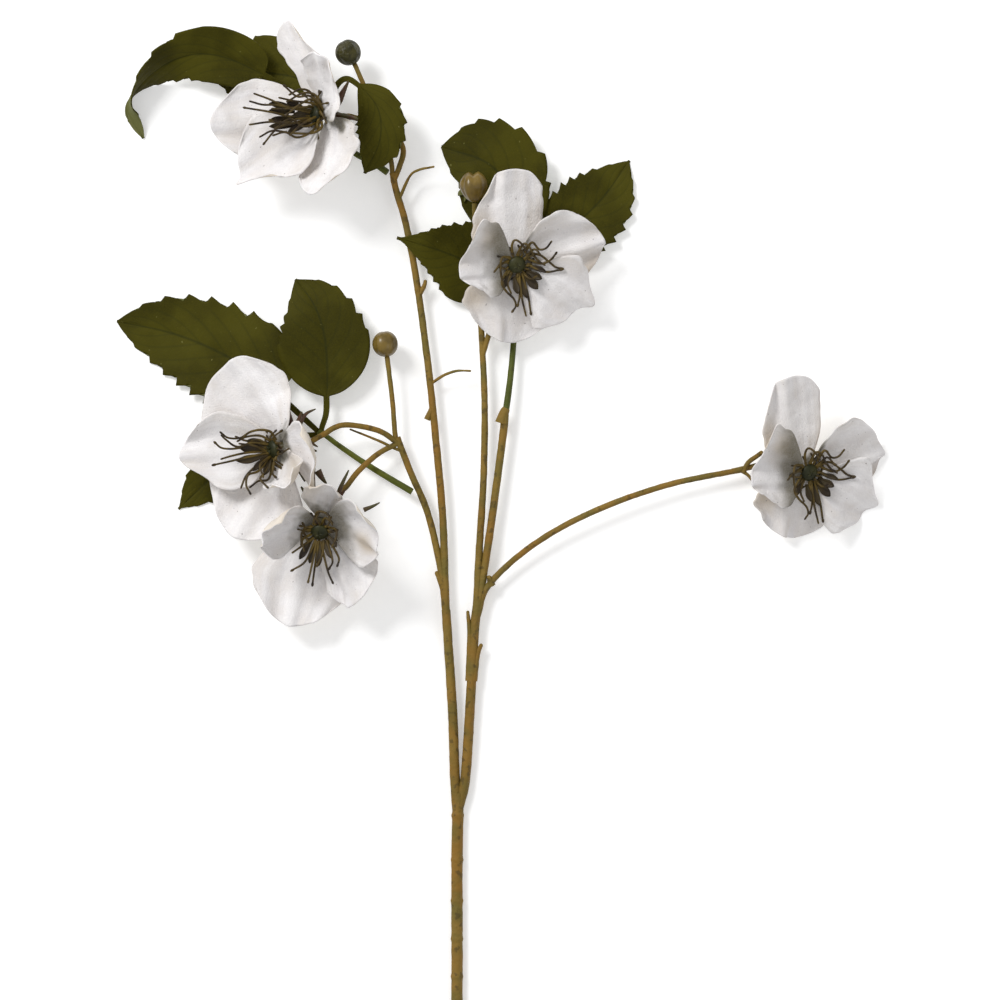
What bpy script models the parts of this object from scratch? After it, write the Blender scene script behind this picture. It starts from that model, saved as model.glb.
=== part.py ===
"""A branching hellebore spray that lies on a level surface: one stem, five blooms, three buds, nine leaves.

Run with: blender --background --python part.py

The spray lies along +Y with its cut end at -Y, its blooms turn up to +Z, and the surface it lies on is
z = 0. Its sizes below are in millimetres, and every mesh is made in metres.
"""

import math
import random
from collections.abc import Callable, Sequence
from dataclasses import dataclass

import bmesh
import bpy
from mathutils import Matrix, Vector

Point = tuple[float, float, float]

MM = 0.001

# Driving dimensions
MAIN_RADIUS = 2.6
FORK_RADIUS = 2.3
BRANCH_RADIUS = 1.75
TWIG_RADIUS = 1.3
PEDICEL_RADIUS = 1.25
TENDRIL_RADIUS = 0.75
LEAF_STALK_RADIUS = 1.1
KNUCKLE_RADIUS = 2.1
KNUCKLE_LENGTH = 2.2
PETAL_THICKNESS = 0.7
LEAF_THICKNESS = 0.8
FIT_GAP = 0.3

# Bloom centre, measured along the bloom's axis from the plane of its lowest petals
PETAL_ROOT_RADIUS = 2.85
PETAL_ROOT_WIDTH = 3.4
LAYER_STEP = 1.3
RIM_OVER = 0.26
RIM_UNDER = -0.04
CUP_HEIGHT = 8.3
CUP_RADIUS = 3.8
CUP_TOP = -1.2
PEG_RADIUS = 2.2
PEG_TOP = 3.2
BRACT_WIDTH = 3.6
BRACT_COUNT = 5
BRACT_DROP = ((0.0, 0.45), (0.4, 0.58), (1.0, 0.85))
DOME_HEIGHT = 4.6
DOME_RADIUS = 3.7
STAMEN_COUNT = 10
STAMEN_RADIUS = 0.55
STAMEN_SWAY = 0.7
NECTARY_COUNT = 6
NECTARY_LENGTH = 8.0
NECTARY_RADIUS = 1.05
GOLDEN_TURN = math.radians(137.5)

# Grid of a petal and of a leaf
PETAL_ACROSS = 6
PETAL_STATIONS = (0.0, 0.2, 0.44, 0.68, 0.87, 1.0)
LEAF_ACROSS = 4
LEAF_ALONG = 13
LEAF_STALK_WIDTH = 2.4
LEAF_WAVE = 0.5

# Form of every petal
PETAL_PEAK = 0.6
PETAL_SWELL = 0.85
PETAL_ROUND_OFF = 0.24
PETAL_TURNED = 0.44
PETAL_RUFFLE = 0.6

BUD_RADIUS = 5.9


@dataclass(frozen=True)
class Petal:
    """One petal from its root in the bloom to its tip.

    A petal of a higher layer lies over its neighbours. bow lifts its middle, look_up turns its face from the
    bloom's axis towards +Z, pleat is the height of its long folds, and end is how broad its tip is.
    """

    tip: Point
    width: float
    layer: int
    bow: float = 0.0
    look_up: float = 0.0
    pleat: float = 0.35
    end: float = 0.7


@dataclass(frozen=True)
class Bloom:
    """A bloom: its centre, the way it faces, its petals in turn and how its stamens lean."""

    name: str
    centre: Point
    axis: Point
    petals: tuple[Petal, ...]
    stamen_length: float
    stamen_spread: tuple[float, float]
    stamen_lean: Point
    bract_length: float
    seed: int

    @property
    def facing(self) -> Vector:
        return Vector(self.axis).normalized()

    def along_axis(self, height: float) -> Vector:
        return Vector(self.centre) + self.facing * height


@dataclass(frozen=True)
class Leaf:
    """One leaf: the points of its midrib, its width and the form of its blade.

    The foot is narrow up to blade_start, and peak is where the blade is widest. fullness squares its outline,
    fold lifts its edges, roll turns it about its midrib in degrees from foot to tip, and skew shifts its
    middle to one side. Its teeth start at teeth_from.
    """

    name: str
    midrib: tuple[Point, ...]
    width: float
    blade_start: float
    peak: float = 0.45
    fullness: float = 0.75
    fold: float = 0.12
    roll: tuple[float, float] = (0.0, 0.0)
    teeth_from: float = 0.45
    tooth: float = 0.1
    skew: float = 0.0


MAIN_STEM = ((-19.5, -246.0, 2.95), (-19.5, -178.5, 2.95), (-19.5, -133.0, 2.95), (-19.0, -103.0, 3.1))
MAIN_SCARS = (0.17, 0.29, 0.42, 0.54, 0.66, 0.79, 0.93)
LEFT_FORK = (
    (-19.5, -110.0, 3.0),
    (-20.5, -94.5, 3.2),
    (-21.0, -79.0, 3.5),
    (-21.5, -66.0, 4.0),
    (-22.5, -50.0, 4.4),
    (-24.5, -20.0, 5.0),
)
INNER_BRANCH = (
    (-24.3, -24.0, 5.0),
    (-25.0, -4.0, 5.3),
    (-26.0, 23.0, 5.8),
    (-29.0, 56.5, 6.2),
    (-32.5, 90.0, 6.3),
    (-37.5, 127.0, 6.3),
    (-42.5, 154.0, 6.8),
    (-47.0, 169.5, 8.0),
    (-48.5, 177.5, 8.8),
)
OUTER_BRANCH = (
    (-24.5, -24.0, 5.0),
    (-26.5, -4.0, 5.3),
    (-32.5, 23.0, 6.2),
    (-41.0, 43.5, 7.2),
    (-46.5, 58.0, 7.8),
)
RIGHT_FORK = (
    (-19.0, -110.0, 3.0),
    (-16.0, -98.0, 3.4),
    (-14.5, -79.0, 4.0),
    (-13.0, -53.5, 4.5),
    (-11.5, -28.0, 5.0),
    (-10.0, -16.0, 5.2),
)
CENTRE_BRANCH = (
    (-10.8, -22.0, 5.1),
    (-9.5, 6.0, 5.5),
    (-7.5, 39.5, 6.0),
    (-7.0, 73.0, 6.4),
    (-8.5, 106.5, 6.8),
    (-10.0, 124.5, 8.0),
    (-11.0, 143.5, 11.5),
    (-11.5, 163.5, 16.5),
)
LEAF_BRANCH = ((-10.4, -22.0, 5.1), (-7.5, -4.0, 5.4), (-3.5, 23.0, 6.0), (1.0, 56.5, 6.4), (2.3, 68.5, 6.8))
RIGHT_ARC = (
    (-10.3, -23.0, 5.2),
    (-5.0, -8.5, 5.6),
    (15.0, 9.5, 7.0),
    (42.0, 24.5, 8.2),
    (75.5, 36.5, 8.0),
    (109.5, 43.5, 6.4),
)


@dataclass(frozen=True)
class Twig:
    """A thin part of the stem: its path from root to end, its radius and how it tapers."""

    path: tuple[Point, ...]
    radius: float
    taper: float = 1.0


TWIGS = (
    Twig(
        (
            (-46.2, 54.0, 7.6), (-47.5, 60.0, 8.0), (-48.5, 73.0, 9.0), (-50.0, 86.0, 10.0),
            (-51.0, 94.0, 10.3),
        ),
        radius=1.1,
    ),
    Twig(
        (
            (-48.3, 173.0, 8.4), (-49.5, 184.0, 9.5), (-54.0, 200.0, 12.0), (-60.0, 213.5, 13.2),
            (-65.5, 226.0, 14.2),
        ),
        radius=1.1,
    ),
    Twig(
        (
            (-44.0, 52.0, 7.4), (-46.5, 52.5, 7.8), (-55.0, 56.5, 9.0), (-67.5, 61.5, 10.5),
        ),
        radius=TENDRIL_RADIUS,
        taper=0.5,
    ),
    Twig(
        (
            (-45.8, 165.0, 7.6), (-41.0, 175.5, 10.0), (-37.0, 178.5, 12.0), (-30.0, 180.0, 13.0),
        ),
        radius=TENDRIL_RADIUS,
        taper=0.6,
    ),
    Twig(
        (
            (-31.5, 82.0, 6.3), (-25.5, 86.0, 8.0), (-19.5, 88.0, 9.5), (-13.5, 88.0, 10.0),
        ),
        radius=TENDRIL_RADIUS,
        taper=0.6,
    ),
    Twig(
        (
            (-37.0, 122.0, 6.3), (-34.5, 126.0, 6.6), (-33.8, 128.5, 6.8),
        ),
        radius=1.4,
        taper=0.6,
    ),
    Twig(
        (
            (-33.0, 66.0, 6.3), (-31.0, 71.0, 6.6), (-30.3, 74.5, 6.8),
        ),
        radius=1.5,
        taper=0.6,
    ),
    Twig(
        (
            (-25.0, -12.0, 5.1), (-27.5, -5.5, 5.6), (-28.5, -3.5, 5.8),
        ),
        radius=1.8,
        taper=0.6,
    ),
    Twig(
        (
            (-12.3, -52.0, 4.6), (-10.2, -40.0, 5.2), (-8.6, -36.0, 5.6),
        ),
        radius=2.0,
        taper=0.4,
    ),
    Twig(
        (
            (-14.0, -52.0, 4.6), (-13.8, -32.0, 5.4), (-14.6, -21.0, 6.0),
        ),
        radius=1.8,
        taper=0.4,
    ),
    Twig(
        (
            (110.0, 42.0, 6.8), (112.0, 46.5, 7.2), (118.0, 51.0, 7.6),
        ),
        radius=1.1,
        taper=0.9,
    ),
    Twig(
        (
            (109.0, 43.0, 6.6), (112.0, 41.0, 7.0), (114.5, 38.0, 7.2),
        ),
        radius=0.9,
        taper=0.7,
    ),
    Twig(
        (
            (0.2, 64.5, 6.5), (1.2, 67.5, 6.6), (2.2, 70.0, 6.7),
        ),
        radius=2.6,
        taper=0.8,
    ),
    Twig(
        (
            (-3.8, -9.0, 5.6), (-4.5, -7.0, 6.2), (-4.8, -5.5, 7.0),
        ),
        radius=1.7,
        taper=0.7,
    ),
)


@dataclass(frozen=True)
class Pedicel:
    """The part of the stem that ends in a bloom's cup."""

    bloom: str
    path: tuple[Point, ...]


PEDICELS = (
    Pedicel(
        "top",
        (
            (-48.0, 174.0, 8.6), (-45.0, 181.5, 9.6), (-43.8, 188.5, 10.4), (-48.5, 195.5, 11.4),
            (-57.0, 199.5, 13.2),
        ),
    ),
    Pedicel(
        "left",
        (
            (-45.8, 55.0, 7.7), (-55.0, 61.0, 11.0), (-70.5, 63.5, 14.0), (-80.0, 59.0, 15.4),
        ),
    ),
    Pedicel(
        "low",
        (
            (-45.8, 55.5, 7.7), (-55.0, 50.5, 10.0), (-64.0, 42.5, 12.0), (-70.0, 35.0, 12.4),
        ),
    ),
    Pedicel(
        "middle",
        (
            (-8.0, 95.0, 6.7), (-4.0, 108.0, 8.0), (1.0, 122.0, 9.5), (3.4, 133.0, 10.0),
        ),
    ),
    Pedicel(
        "right",
        (
            (105.0, 42.8, 6.6), (114.0, 44.8, 5.4), (122.0, 46.6, 4.2),
        ),
    ),
)


@dataclass(frozen=True)
class LeafStalk:
    """A green stalk that stands in a socket of the stem and carries three leaves."""

    name: str
    path: tuple[Point, ...]


LEAF_STALKS = (
    LeafStalk(
        "leaf_stalk_top",
        ((-50.9, 177.6, 8.2), (-56.5, 181.5, 7), (-66.5, 187, 6.2), (-71.5, 193.5, 6.2), (-77.5, 205, 6.8)),
    ),
    LeafStalk(
        "leaf_stalk_left",
        ((-39.8, 33.4, 6.3), (-51.0, 40.0, 5.5), (-61.5, 46.5, 5.0), (-72.5, 54.0, 5.0), (-81.2, 60.5, 5.2)),
    ),
    LeafStalk(
        "leaf_stalk_middle",
        ((2.7, 70.8, 6.8), (4.5, 84.0, 6.3), (6.0, 100.0, 5.5), (7.0, 115.5, 5.0), (6.0, 133.2, 5.0)),
    ),
)

LEAVES = (
    Leaf(
        "leaf_top_outer",
        (
            (-79.5, 206.5, 7.4), (-92.0, 213.0, 8.4), (-119.0, 228.0, 10.5), (-138.4, 231.0, 12.5),
            (-156.0, 223.2, 10.5), (-167.8, 208.5, 5.0), (-161.5, 193.5, 0.6),
        ),
        width=26.0, blade_start=0.13, peak=0.3, fullness=0.66, fold=0.12, roll=(5.0, -55.0),
        teeth_from=0.5, tooth=0.12, skew=-0.03,
    ),
    Leaf(
        "leaf_top_back",
        (
            (-78.9, 207.2, 5.9), (-90.0, 219.5, 5.2), (-106.0, 223.0, 3.6), (-133.5, 226.0, 2.0),
        ),
        width=34.0, blade_start=0.15, peak=0.45, fullness=0.6, fold=0.03, teeth_from=0.6, tooth=0.08,
    ),
    Leaf(
        "leaf_top_inner",
        (
            (-75.8, 206.8, 7.4), (-74.0, 216.0, 13.0), (-67.5, 219.0, 18.5), (-55.5, 207.0, 21.0),
            (-54.0, 192.0, 19.5), (-61.0, 177.0, 13.5),
        ),
        width=24.0, blade_start=0.36, peak=0.5, fullness=0.7, fold=-0.12, teeth_from=0.5, tooth=0.13,
    ),
    Leaf(
        "leaf_left_wide",
        (
            (-83.6, 61.9, 5.4), (-95.0, 72.5, 6.0), (-109.0, 85.5, 4.5), (-128.0, 97.0, 2.2),
            (-149.5, 105.5, 0.4), (-173.5, 110.5, 0.4),
        ),
        width=48.0, blade_start=0.1, peak=0.34, fullness=0.55, fold=0.06, teeth_from=0.4, tooth=0.12,
    ),
    Leaf(
        "leaf_left_round",
        (
            (-80.3, 63.1, 6.7), (-78.5, 70.0, 7.6), (-78.6, 84.0, 8.0), (-80.0, 103.0, 8.4),
            (-84.5, 117.5, 7.6), (-92.5, 129.5, 4.0),
        ),
        width=42.0, blade_start=0.2, peak=0.43, fullness=0.62, fold=0.06, teeth_from=0.55, tooth=0.08,
        skew=0.04,
    ),
    Leaf(
        "leaf_left_low",
        (
            (-83.6, 59.2, 4.2), (-95.0, 58.0, 4.2), (-111.0, 52.5, 3.0), (-129.0, 41.0, 1.4),
            (-145.5, 25.5, 0.4),
        ),
        width=24.0, blade_start=0.2, peak=0.55, fullness=0.8, fold=0.06, teeth_from=0.5, tooth=0.12,
    ),
    Leaf(
        "leaf_middle_up",
        (
            (5.6, 135.2, 6.0), (5.0, 148.0, 6.0), (2.6, 166.0, 7.0), (0.2, 177.5, 7.8),
            (-9.0, 184.5, 7.4), (-26.5, 189.5, 3.6),
        ),
        width=44.0, blade_start=0.08, peak=0.55, fullness=0.5, fold=0.03, teeth_from=0.42, tooth=0.08,
        skew=-0.04,
    ),
    Leaf(
        "leaf_middle_right",
        (
            (8.9, 134.0, 5.0), (20.0, 143.0, 5.6), (33.0, 153.5, 5.0), (46.5, 166.5, 2.6),
            (58.5, 183.5, 0.4),
        ),
        width=37.0, blade_start=0.14, peak=0.48, fullness=0.72, fold=0.05, teeth_from=0.4, tooth=0.11,
    ),
    Leaf(
        "leaf_middle_left",
        (
            (2.7, 133.2, 4.0), (-12.6, 137.0, 4.2), (-26.0, 142.0, 7.0), (-36.0, 145.0, 10.0),
            (-46.5, 148.0, 11.6),
        ),
        width=38.0, blade_start=0.08, peak=0.27, fullness=1.1, fold=0.02, teeth_from=0.42, tooth=0.11,
    ),
)

BLOOMS = (
    Bloom(
        "top",
        centre=(-78.2, 202.8, 24.0),
        axis=(-0.86, 0.04, 0.5),
        petals=(
            Petal((-79.5, 229.0, 46.0), 34.0, 2, bow=-2.6, look_up=0.34),
            Petal((-97.0, 244.6, 27.0), 31.0, 1, bow=-1.4, look_up=0.25),
            Petal((-129.8, 197.0, 20.5), 38.5, 0, bow=-3.8, look_up=0.6),
            Petal((-116.0, 175.0, 24.5), 38.0, 2, bow=-2.0, look_up=0.6),
            Petal((-85.5, 166.6, 36.0), 40.0, 0, bow=-5.0, look_up=0.4),
        ),
        stamen_length=29.0,
        stamen_spread=(16.0, 44.0),
        stamen_lean=(0.0, -2.0, 8.0),
        bract_length=15.0,
        seed=3,
    ),
    Bloom(
        "left",
        centre=(-97.1, 53.5, 24.0),
        axis=(-0.85, -0.15, 0.51),
        petals=(
            Petal((-122.6, 92.0, 24.0), 51.0, 0, bow=-2.0, look_up=0.6, pleat=0.6),
            Petal((-143.8, 49.1, 20.0), 40.0, 2, bow=-2.0, look_up=0.6),
            Petal((-119.0, 12.6, 17.0), 44.0, 0, bow=-2.0, look_up=0.6),
            Petal((-95.6, 36.4, 47.0), 26.0, 2, bow=-5.0),
            Petal((-84.3, 51.1, 50.0), 38.0, 1, bow=-5.6),
        ),
        stamen_length=25.0,
        stamen_spread=(18.0, 52.0),
        stamen_lean=(0.0, -6.0, 2.0),
        bract_length=15.0,
        seed=7,
    ),
    Bloom(
        "low",
        centre=(-80.4, 19.8, 24.0),
        axis=(-0.1, -0.6, 0.79),
        petals=(
            Petal((-54.1, 9.6, 44.0), 36.0, 2, bow=-5.0),
            Petal((-76.5, 35.4, 52.0), 32.0, 0, bow=-4.0),
            Petal((-106.9, 11.8, 44.0), 32.0, 2, bow=-5.0),
            Petal((-93.8, -27.1, 14.0), 44.0, 0, bow=-5.0, pleat=0.7),
            Petal((-67.5, -18.0, 21.0), 38.0, 1, bow=-4.0),
        ),
        stamen_length=25.0,
        stamen_spread=(16.0, 50.0),
        stamen_lean=(0.0, -4.0, 0.0),
        bract_length=15.0,
        seed=11,
    ),
    Bloom(
        "middle",
        centre=(7.6, 135.6, 22.0),
        axis=(0.2, -0.35, 0.91),
        petals=(
            Petal((46.4, 147.6, 18.0), 40.0, 1, bow=0.0),
            Petal((2.2, 178.2, 34.0), 34.0, 0, bow=-2.0),
            Petal((-17.9, 130.1, 33.0), 42.0, 2, bow=-1.0),
            Petal((3.2, 100.6, 12.0), 42.0, 0, bow=-0.5),
            Petal((35.6, 116.2, 14.5), 41.0, 2, bow=2.5),
        ),
        stamen_length=23.0,
        stamen_spread=(35.0, 92.0),
        stamen_lean=(4.0, -5.0, 0.0),
        bract_length=9.0,
        seed=19,
    ),
    Bloom(
        "right",
        centre=(138.0, 42.0, 14.0),
        axis=(0.42, -0.31, 0.85),
        petals=(
            Petal((172.8, 52.5, 0.4), 43.0, 1, bow=2.0),
            Petal((128.6, 85.3, 27.0), 28.0, 0, bow=-2.0, end=0.85),
            Petal((113.2, 36.9, 26.0), 42.0, 2, bow=-1.0),
            Petal((130.8, 12.6, 4.5), 42.0, 0, bow=-0.5),
            Petal((167.2, 26.8, 1.0), 40.0, 2, bow=3.5),
        ),
        stamen_length=23.0,
        stamen_spread=(35.0, 92.0),
        stamen_lean=(4.0, -5.0, 0.0),
        bract_length=9.0,
        seed=19,
    ),
)

STEM_COLOUR = (0.17, 0.13, 0.035)
LEAF_STALK_COLOUR = (0.07, 0.1, 0.015)
LEAF_COLOUR = (0.035, 0.042, 0.004)
PETAL_COLOUR = (0.75, 0.73, 0.76)
STAMEN_COLOUR = (0.045, 0.025, 0.005)
CUP_COLOUR = (0.05, 0.05, 0.012)
BUD_COLOUR = (0.11, 0.08, 0.025)


def clear_scene() -> None:
    """Removes every object of the scene."""
    for old in list(bpy.data.objects):
        bpy.data.objects.remove(old, do_unlink=True)


def finish(name: str, colour: Point, roughness: float) -> bpy.types.Material:
    """Makes a Principled BSDF material."""
    material = bpy.data.materials.new(name)
    material.use_nodes = True
    shader = material.node_tree.nodes["Principled BSDF"]
    shader.inputs["Base Color"].default_value = (*colour, 1.0)
    shader.inputs["Roughness"].default_value = roughness
    shader.inputs["Metallic"].default_value = 0.0
    return material


def add_object(name: str, mesh: bpy.types.Mesh) -> bpy.types.Object:
    """Places a mesh in the scene under its own name."""
    mesh.name = name
    obj = bpy.data.objects.new(name, mesh)
    bpy.context.scene.collection.objects.link(obj)
    return obj


def dress(obj: bpy.types.Object, colour: Point, roughness: float) -> bpy.types.Object:
    """Gives an object its own material and smooth shading."""
    obj.data.materials.clear()
    obj.data.materials.append(finish(obj.name, colour, roughness))
    obj.data.shade_smooth()
    obj.data.set_sharp_from_angle(angle=math.radians(40.0))
    return obj


def smooth_path(points: Sequence[Point], steps: int) -> list[Vector]:
    """Points along a Catmull-Rom curve through the given points, with steps to each span."""
    knots = [Vector(p) for p in points]
    knots = [2 * knots[0] - knots[1], *knots, 2 * knots[-1] - knots[-2]]
    path = []
    for i in range(1, len(knots) - 2):
        a, b, c, d = knots[i - 1 : i + 3]
        for k in range(steps):
            u = k / steps
            square = 2 * a - 5 * b + 4 * c - d
            cube = 3 * b - 3 * c + d - a
            path.append(0.5 * (2 * b + (c - a) * u + square * u**2 + cube * u**3))
    path.append(knots[-2])
    return path


def path_point(points: Sequence[Point], fraction: float) -> tuple[Vector, Vector]:
    """The place and direction at a fraction of the way along a smooth path."""
    steps = 12
    path = smooth_path(points, steps)
    lengths = [0.0]
    for a, b in zip(path, path[1:]):
        lengths.append(lengths[-1] + (b - a).length)
    target = min(max(fraction, 0.0), 1.0) * lengths[-1]
    i = next(k for k in range(1, len(lengths)) if lengths[k] >= target - 1e-9)
    u = (target - lengths[i - 1]) / (lengths[i] - lengths[i - 1])
    before = path[max(i - 2, 0)]
    after = path[min(i + 1, len(path) - 1)]
    return path[i - 1].lerp(path[i], u), (after - before).normalized()


def tube(name: str, path: Sequence[Vector], radii: Sequence[float], sides: int) -> bpy.types.Object:
    """A closed round bar along a path: a bevelled curve with filled ends, turned to a mesh."""
    curve = bpy.data.curves.new(name, "CURVE")
    curve.dimensions = "3D"
    curve.bevel_depth = MM
    curve.bevel_resolution = sides // 2 - 2
    curve.use_fill_caps = True
    spline = curve.splines.new("POLY")
    spline.points.add(len(path) - 1)
    for knot, place, radius in zip(spline.points, path, radii):
        knot.co = (*(place * MM), 1.0)
        knot.radius = radius
    guide = bpy.data.objects.new(name, curve)
    mesh = bpy.data.meshes.new_from_object(guide)
    bpy.data.objects.remove(guide)
    bpy.data.curves.remove(curve)
    return add_object(name, mesh)


def tapered(path: Sequence[Vector], root: float, end: float) -> list[float]:
    """A radius for each point of a path, from root to end."""
    last = len(path) - 1
    return [root + (end - root) * i / last for i in range(last + 1)]


def turned(name: str, profile: Sequence[tuple[float, float]], sides: int, frame: Matrix) -> bpy.types.Object:
    """A body turned about an axis from a profile of radius and height that starts and ends on the axis."""
    bm = bmesh.new()
    rings = []
    for radius, height in profile[1:-1]:
        ring = []
        for k in range(sides):
            turn = 2 * math.pi * k / sides
            ring.append(bm.verts.new((radius * math.cos(turn), radius * math.sin(turn), height)))
        rings.append(ring)
    foot = bm.verts.new((0.0, 0.0, profile[0][1]))
    top = bm.verts.new((0.0, 0.0, profile[-1][1]))
    for k in range(sides):
        after = (k + 1) % sides
        bm.faces.new((foot, rings[0][after], rings[0][k]))
        bm.faces.new((top, rings[-1][k], rings[-1][after]))
        for low, high in zip(rings, rings[1:]):
            bm.faces.new((low[k], low[after], high[after], high[k]))
    bmesh.ops.transform(bm, matrix=Matrix.Scale(MM, 4) @ frame, verts=bm.verts)
    mesh = bpy.data.meshes.new(name)
    bm.to_mesh(mesh)
    bm.free()
    return add_object(name, mesh)


def frame_at(origin: Vector, up: Vector) -> Matrix:
    """A frame whose Z axis is up and whose X axis stays as level as it can."""
    z = up.normalized()
    reference = Vector((1.0, 0.0, 0.0)) if abs(z.x) < 0.8 else Vector((0.0, 0.0, 1.0))
    x = (reference - z * reference.dot(z)).normalized()
    y = z.cross(x)
    matrix = Matrix((x, y, z)).transposed().to_4x4()
    matrix.translation = origin
    return matrix


def fuse(name: str, shapes: Sequence[bpy.types.Object]) -> bpy.types.Object:
    """Joins overlapping closed shapes into one body and removes them."""
    body = shapes[0]
    tools = bpy.data.collections.new(name + "_tools")
    bpy.context.scene.collection.children.link(tools)
    for shape in shapes[1:]:
        bpy.context.scene.collection.objects.unlink(shape)
        tools.objects.link(shape)
    union = body.modifiers.new("Union", "BOOLEAN")
    union.operation = "UNION"
    union.operand_type = "COLLECTION"
    union.collection = tools
    union.solver = "EXACT"
    bpy.context.view_layer.update()
    mesh = bpy.data.meshes.new_from_object(body.evaluated_get(bpy.context.evaluated_depsgraph_get()))
    for shape in shapes:
        bpy.data.objects.remove(shape, do_unlink=True)
    bpy.data.collections.remove(tools)
    return add_object(name, mesh)


def sheet(
    name: str,
    surface: Callable[[float, float], Vector],
    stations: Sequence[float],
    across: int,
    thickness: float,
) -> bpy.types.Object:
    """A thin blade of even thickness on a surface that is given by its length and its width."""
    bm = bmesh.new()
    rows = []
    for s in stations:
        row = []
        for j in range(across + 1):
            place = surface(s, 2.0 * j / across - 1.0)
            place.z = max(place.z, 0.5 * thickness)
            row.append(bm.verts.new(place * MM))
        rows.append(row)
    for low, high in zip(rows, rows[1:]):
        for j in range(across):
            bm.faces.new((low[j], low[j + 1], high[j + 1], high[j]))
    bmesh.ops.triangulate(bm, faces=bm.faces)
    mesh = bpy.data.meshes.new(name)
    bm.to_mesh(mesh)
    bm.free()
    obj = add_object(name, mesh)
    solid = obj.modifiers.new("Thickness", "SOLIDIFY")
    solid.thickness = thickness * MM
    solid.offset = 0.0
    return obj


def petal_half_width(petal: Petal, s: float) -> float:
    """The half width of a petal at a fraction of its length."""
    root = PETAL_ROOT_WIDTH / petal.width
    if s < PETAL_PEAK:
        part = root + (1.0 - root) * math.sin(0.5 * math.pi * s / PETAL_PEAK) ** PETAL_SWELL
    else:
        past = (s - PETAL_PEAK) / (1.0 - PETAL_PEAK)
        part = petal.end + (1.0 - petal.end) * math.cos(0.5 * math.pi * past)
    return 0.5 * petal.width * part


def rim_rise(petal: Petal, neighbour: Petal) -> float:
    """How much of its half width a petal's edge rises where it lies over or under its neighbour."""
    return RIM_OVER if petal.layer > neighbour.layer else RIM_UNDER


def petal_surface(bloom: Bloom, number: int, root: Vector) -> Callable[[float, float], Vector]:
    """The middle surface of a petal, by its length from 0 to 1 and its width from -1 to 1."""
    petal = bloom.petals[number]
    rise_after = rim_rise(petal, bloom.petals[(number + 1) % len(bloom.petals)])
    rise_before = rim_rise(petal, bloom.petals[number - 1])
    span = Vector(petal.tip) - root
    ahead = span.normalized()

    def place(s: float, t: float) -> Vector:
        half = petal_half_width(petal, s)
        look_up = petal.look_up * min(s / PETAL_TURNED, 1.0)
        facing = bloom.facing * (1.0 - look_up) + Vector((0.0, 0.0, look_up))
        facing = (facing - ahead * facing.dot(ahead)).normalized()
        side = ahead.cross(facing)
        reach = s * (1.0 - PETAL_ROUND_OFF * s * t * t)
        grown = math.sin(math.pi * min(s * 1.1, 1.0) * 0.5) ** 2
        rim = rise_after if t < 0.0 else rise_before
        height = petal.bow * 4.0 * s * (1.0 - s) + half * rim * t * t
        height += petal.pleat * grown * math.cos(3.0 * math.pi * t) * (1.0 - 0.5 * abs(t))
        height += PETAL_RUFFLE * grown * abs(t) ** 3 * math.sin(7.0 * s + 2.0 * t)
        return root + span * reach + side * (half * t) + facing * height

    return place


def first_turn(bloom: Bloom) -> float:
    """The turn of the first petal's root that suits the tips of all of them best."""
    inverse = frame_at(Vector(bloom.centre), bloom.facing).inverted()
    step = 2.0 * math.pi / len(bloom.petals)
    offsets = []
    for i, petal in enumerate(bloom.petals):
        local = inverse @ Vector(petal.tip)
        turn = math.atan2(local.y, local.x) - step * i
        offsets.append((turn + math.pi) % (2.0 * math.pi) - math.pi)
    return sum(offsets) / len(offsets)


def petal_roots(bloom: Bloom) -> list[Vector]:
    """The places of the petals' roots, spread evenly round the axis."""
    frame = frame_at(Vector(bloom.centre), bloom.facing)
    step = 2.0 * math.pi / len(bloom.petals)
    first = first_turn(bloom)
    roots = []
    for i, petal in enumerate(bloom.petals):
        turn = first + step * i
        outward = Vector((math.cos(turn), math.sin(turn), 0.0))
        roots.append(frame @ (outward * PETAL_ROOT_RADIUS + Vector((0.0, 0.0, petal.layer * LAYER_STEP))))
    return roots


def build_petals(bloom: Bloom) -> None:
    """The petals of a bloom, each a separate blade."""
    for number, root in enumerate(petal_roots(bloom)):
        surface = petal_surface(bloom, number, root)
        name = f"petal_{bloom.name}_{number + 1}"
        obj = sheet(name, surface, PETAL_STATIONS, PETAL_ACROSS, PETAL_THICKNESS)
        dress(obj, PETAL_COLOUR, 0.75)


def filament_path(
    bloom: Bloom, turn: float, sway: float, length: float, spread: tuple[float, float], start: float
) -> list[Vector]:
    """The path of a stamen or nectary that leaves the dome, bends outward and sways round the axis."""
    frame = frame_at(Vector(bloom.centre), bloom.facing)
    steps = 4
    radius = DOME_RADIUS * 0.45
    height = start
    path = []
    for k in range(steps + 1):
        part = k / steps
        swayed = turn + sway * part**2
        local = Vector((radius * math.cos(swayed), radius * math.sin(swayed), height))
        path.append(frame @ local + Vector(bloom.stamen_lean) * part**2)
        tilt = math.radians(spread[0] + (spread[1] - spread[0]) * part)
        radius += length / steps * math.sin(tilt)
        height += length / steps * math.cos(tilt)
    return path


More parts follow.
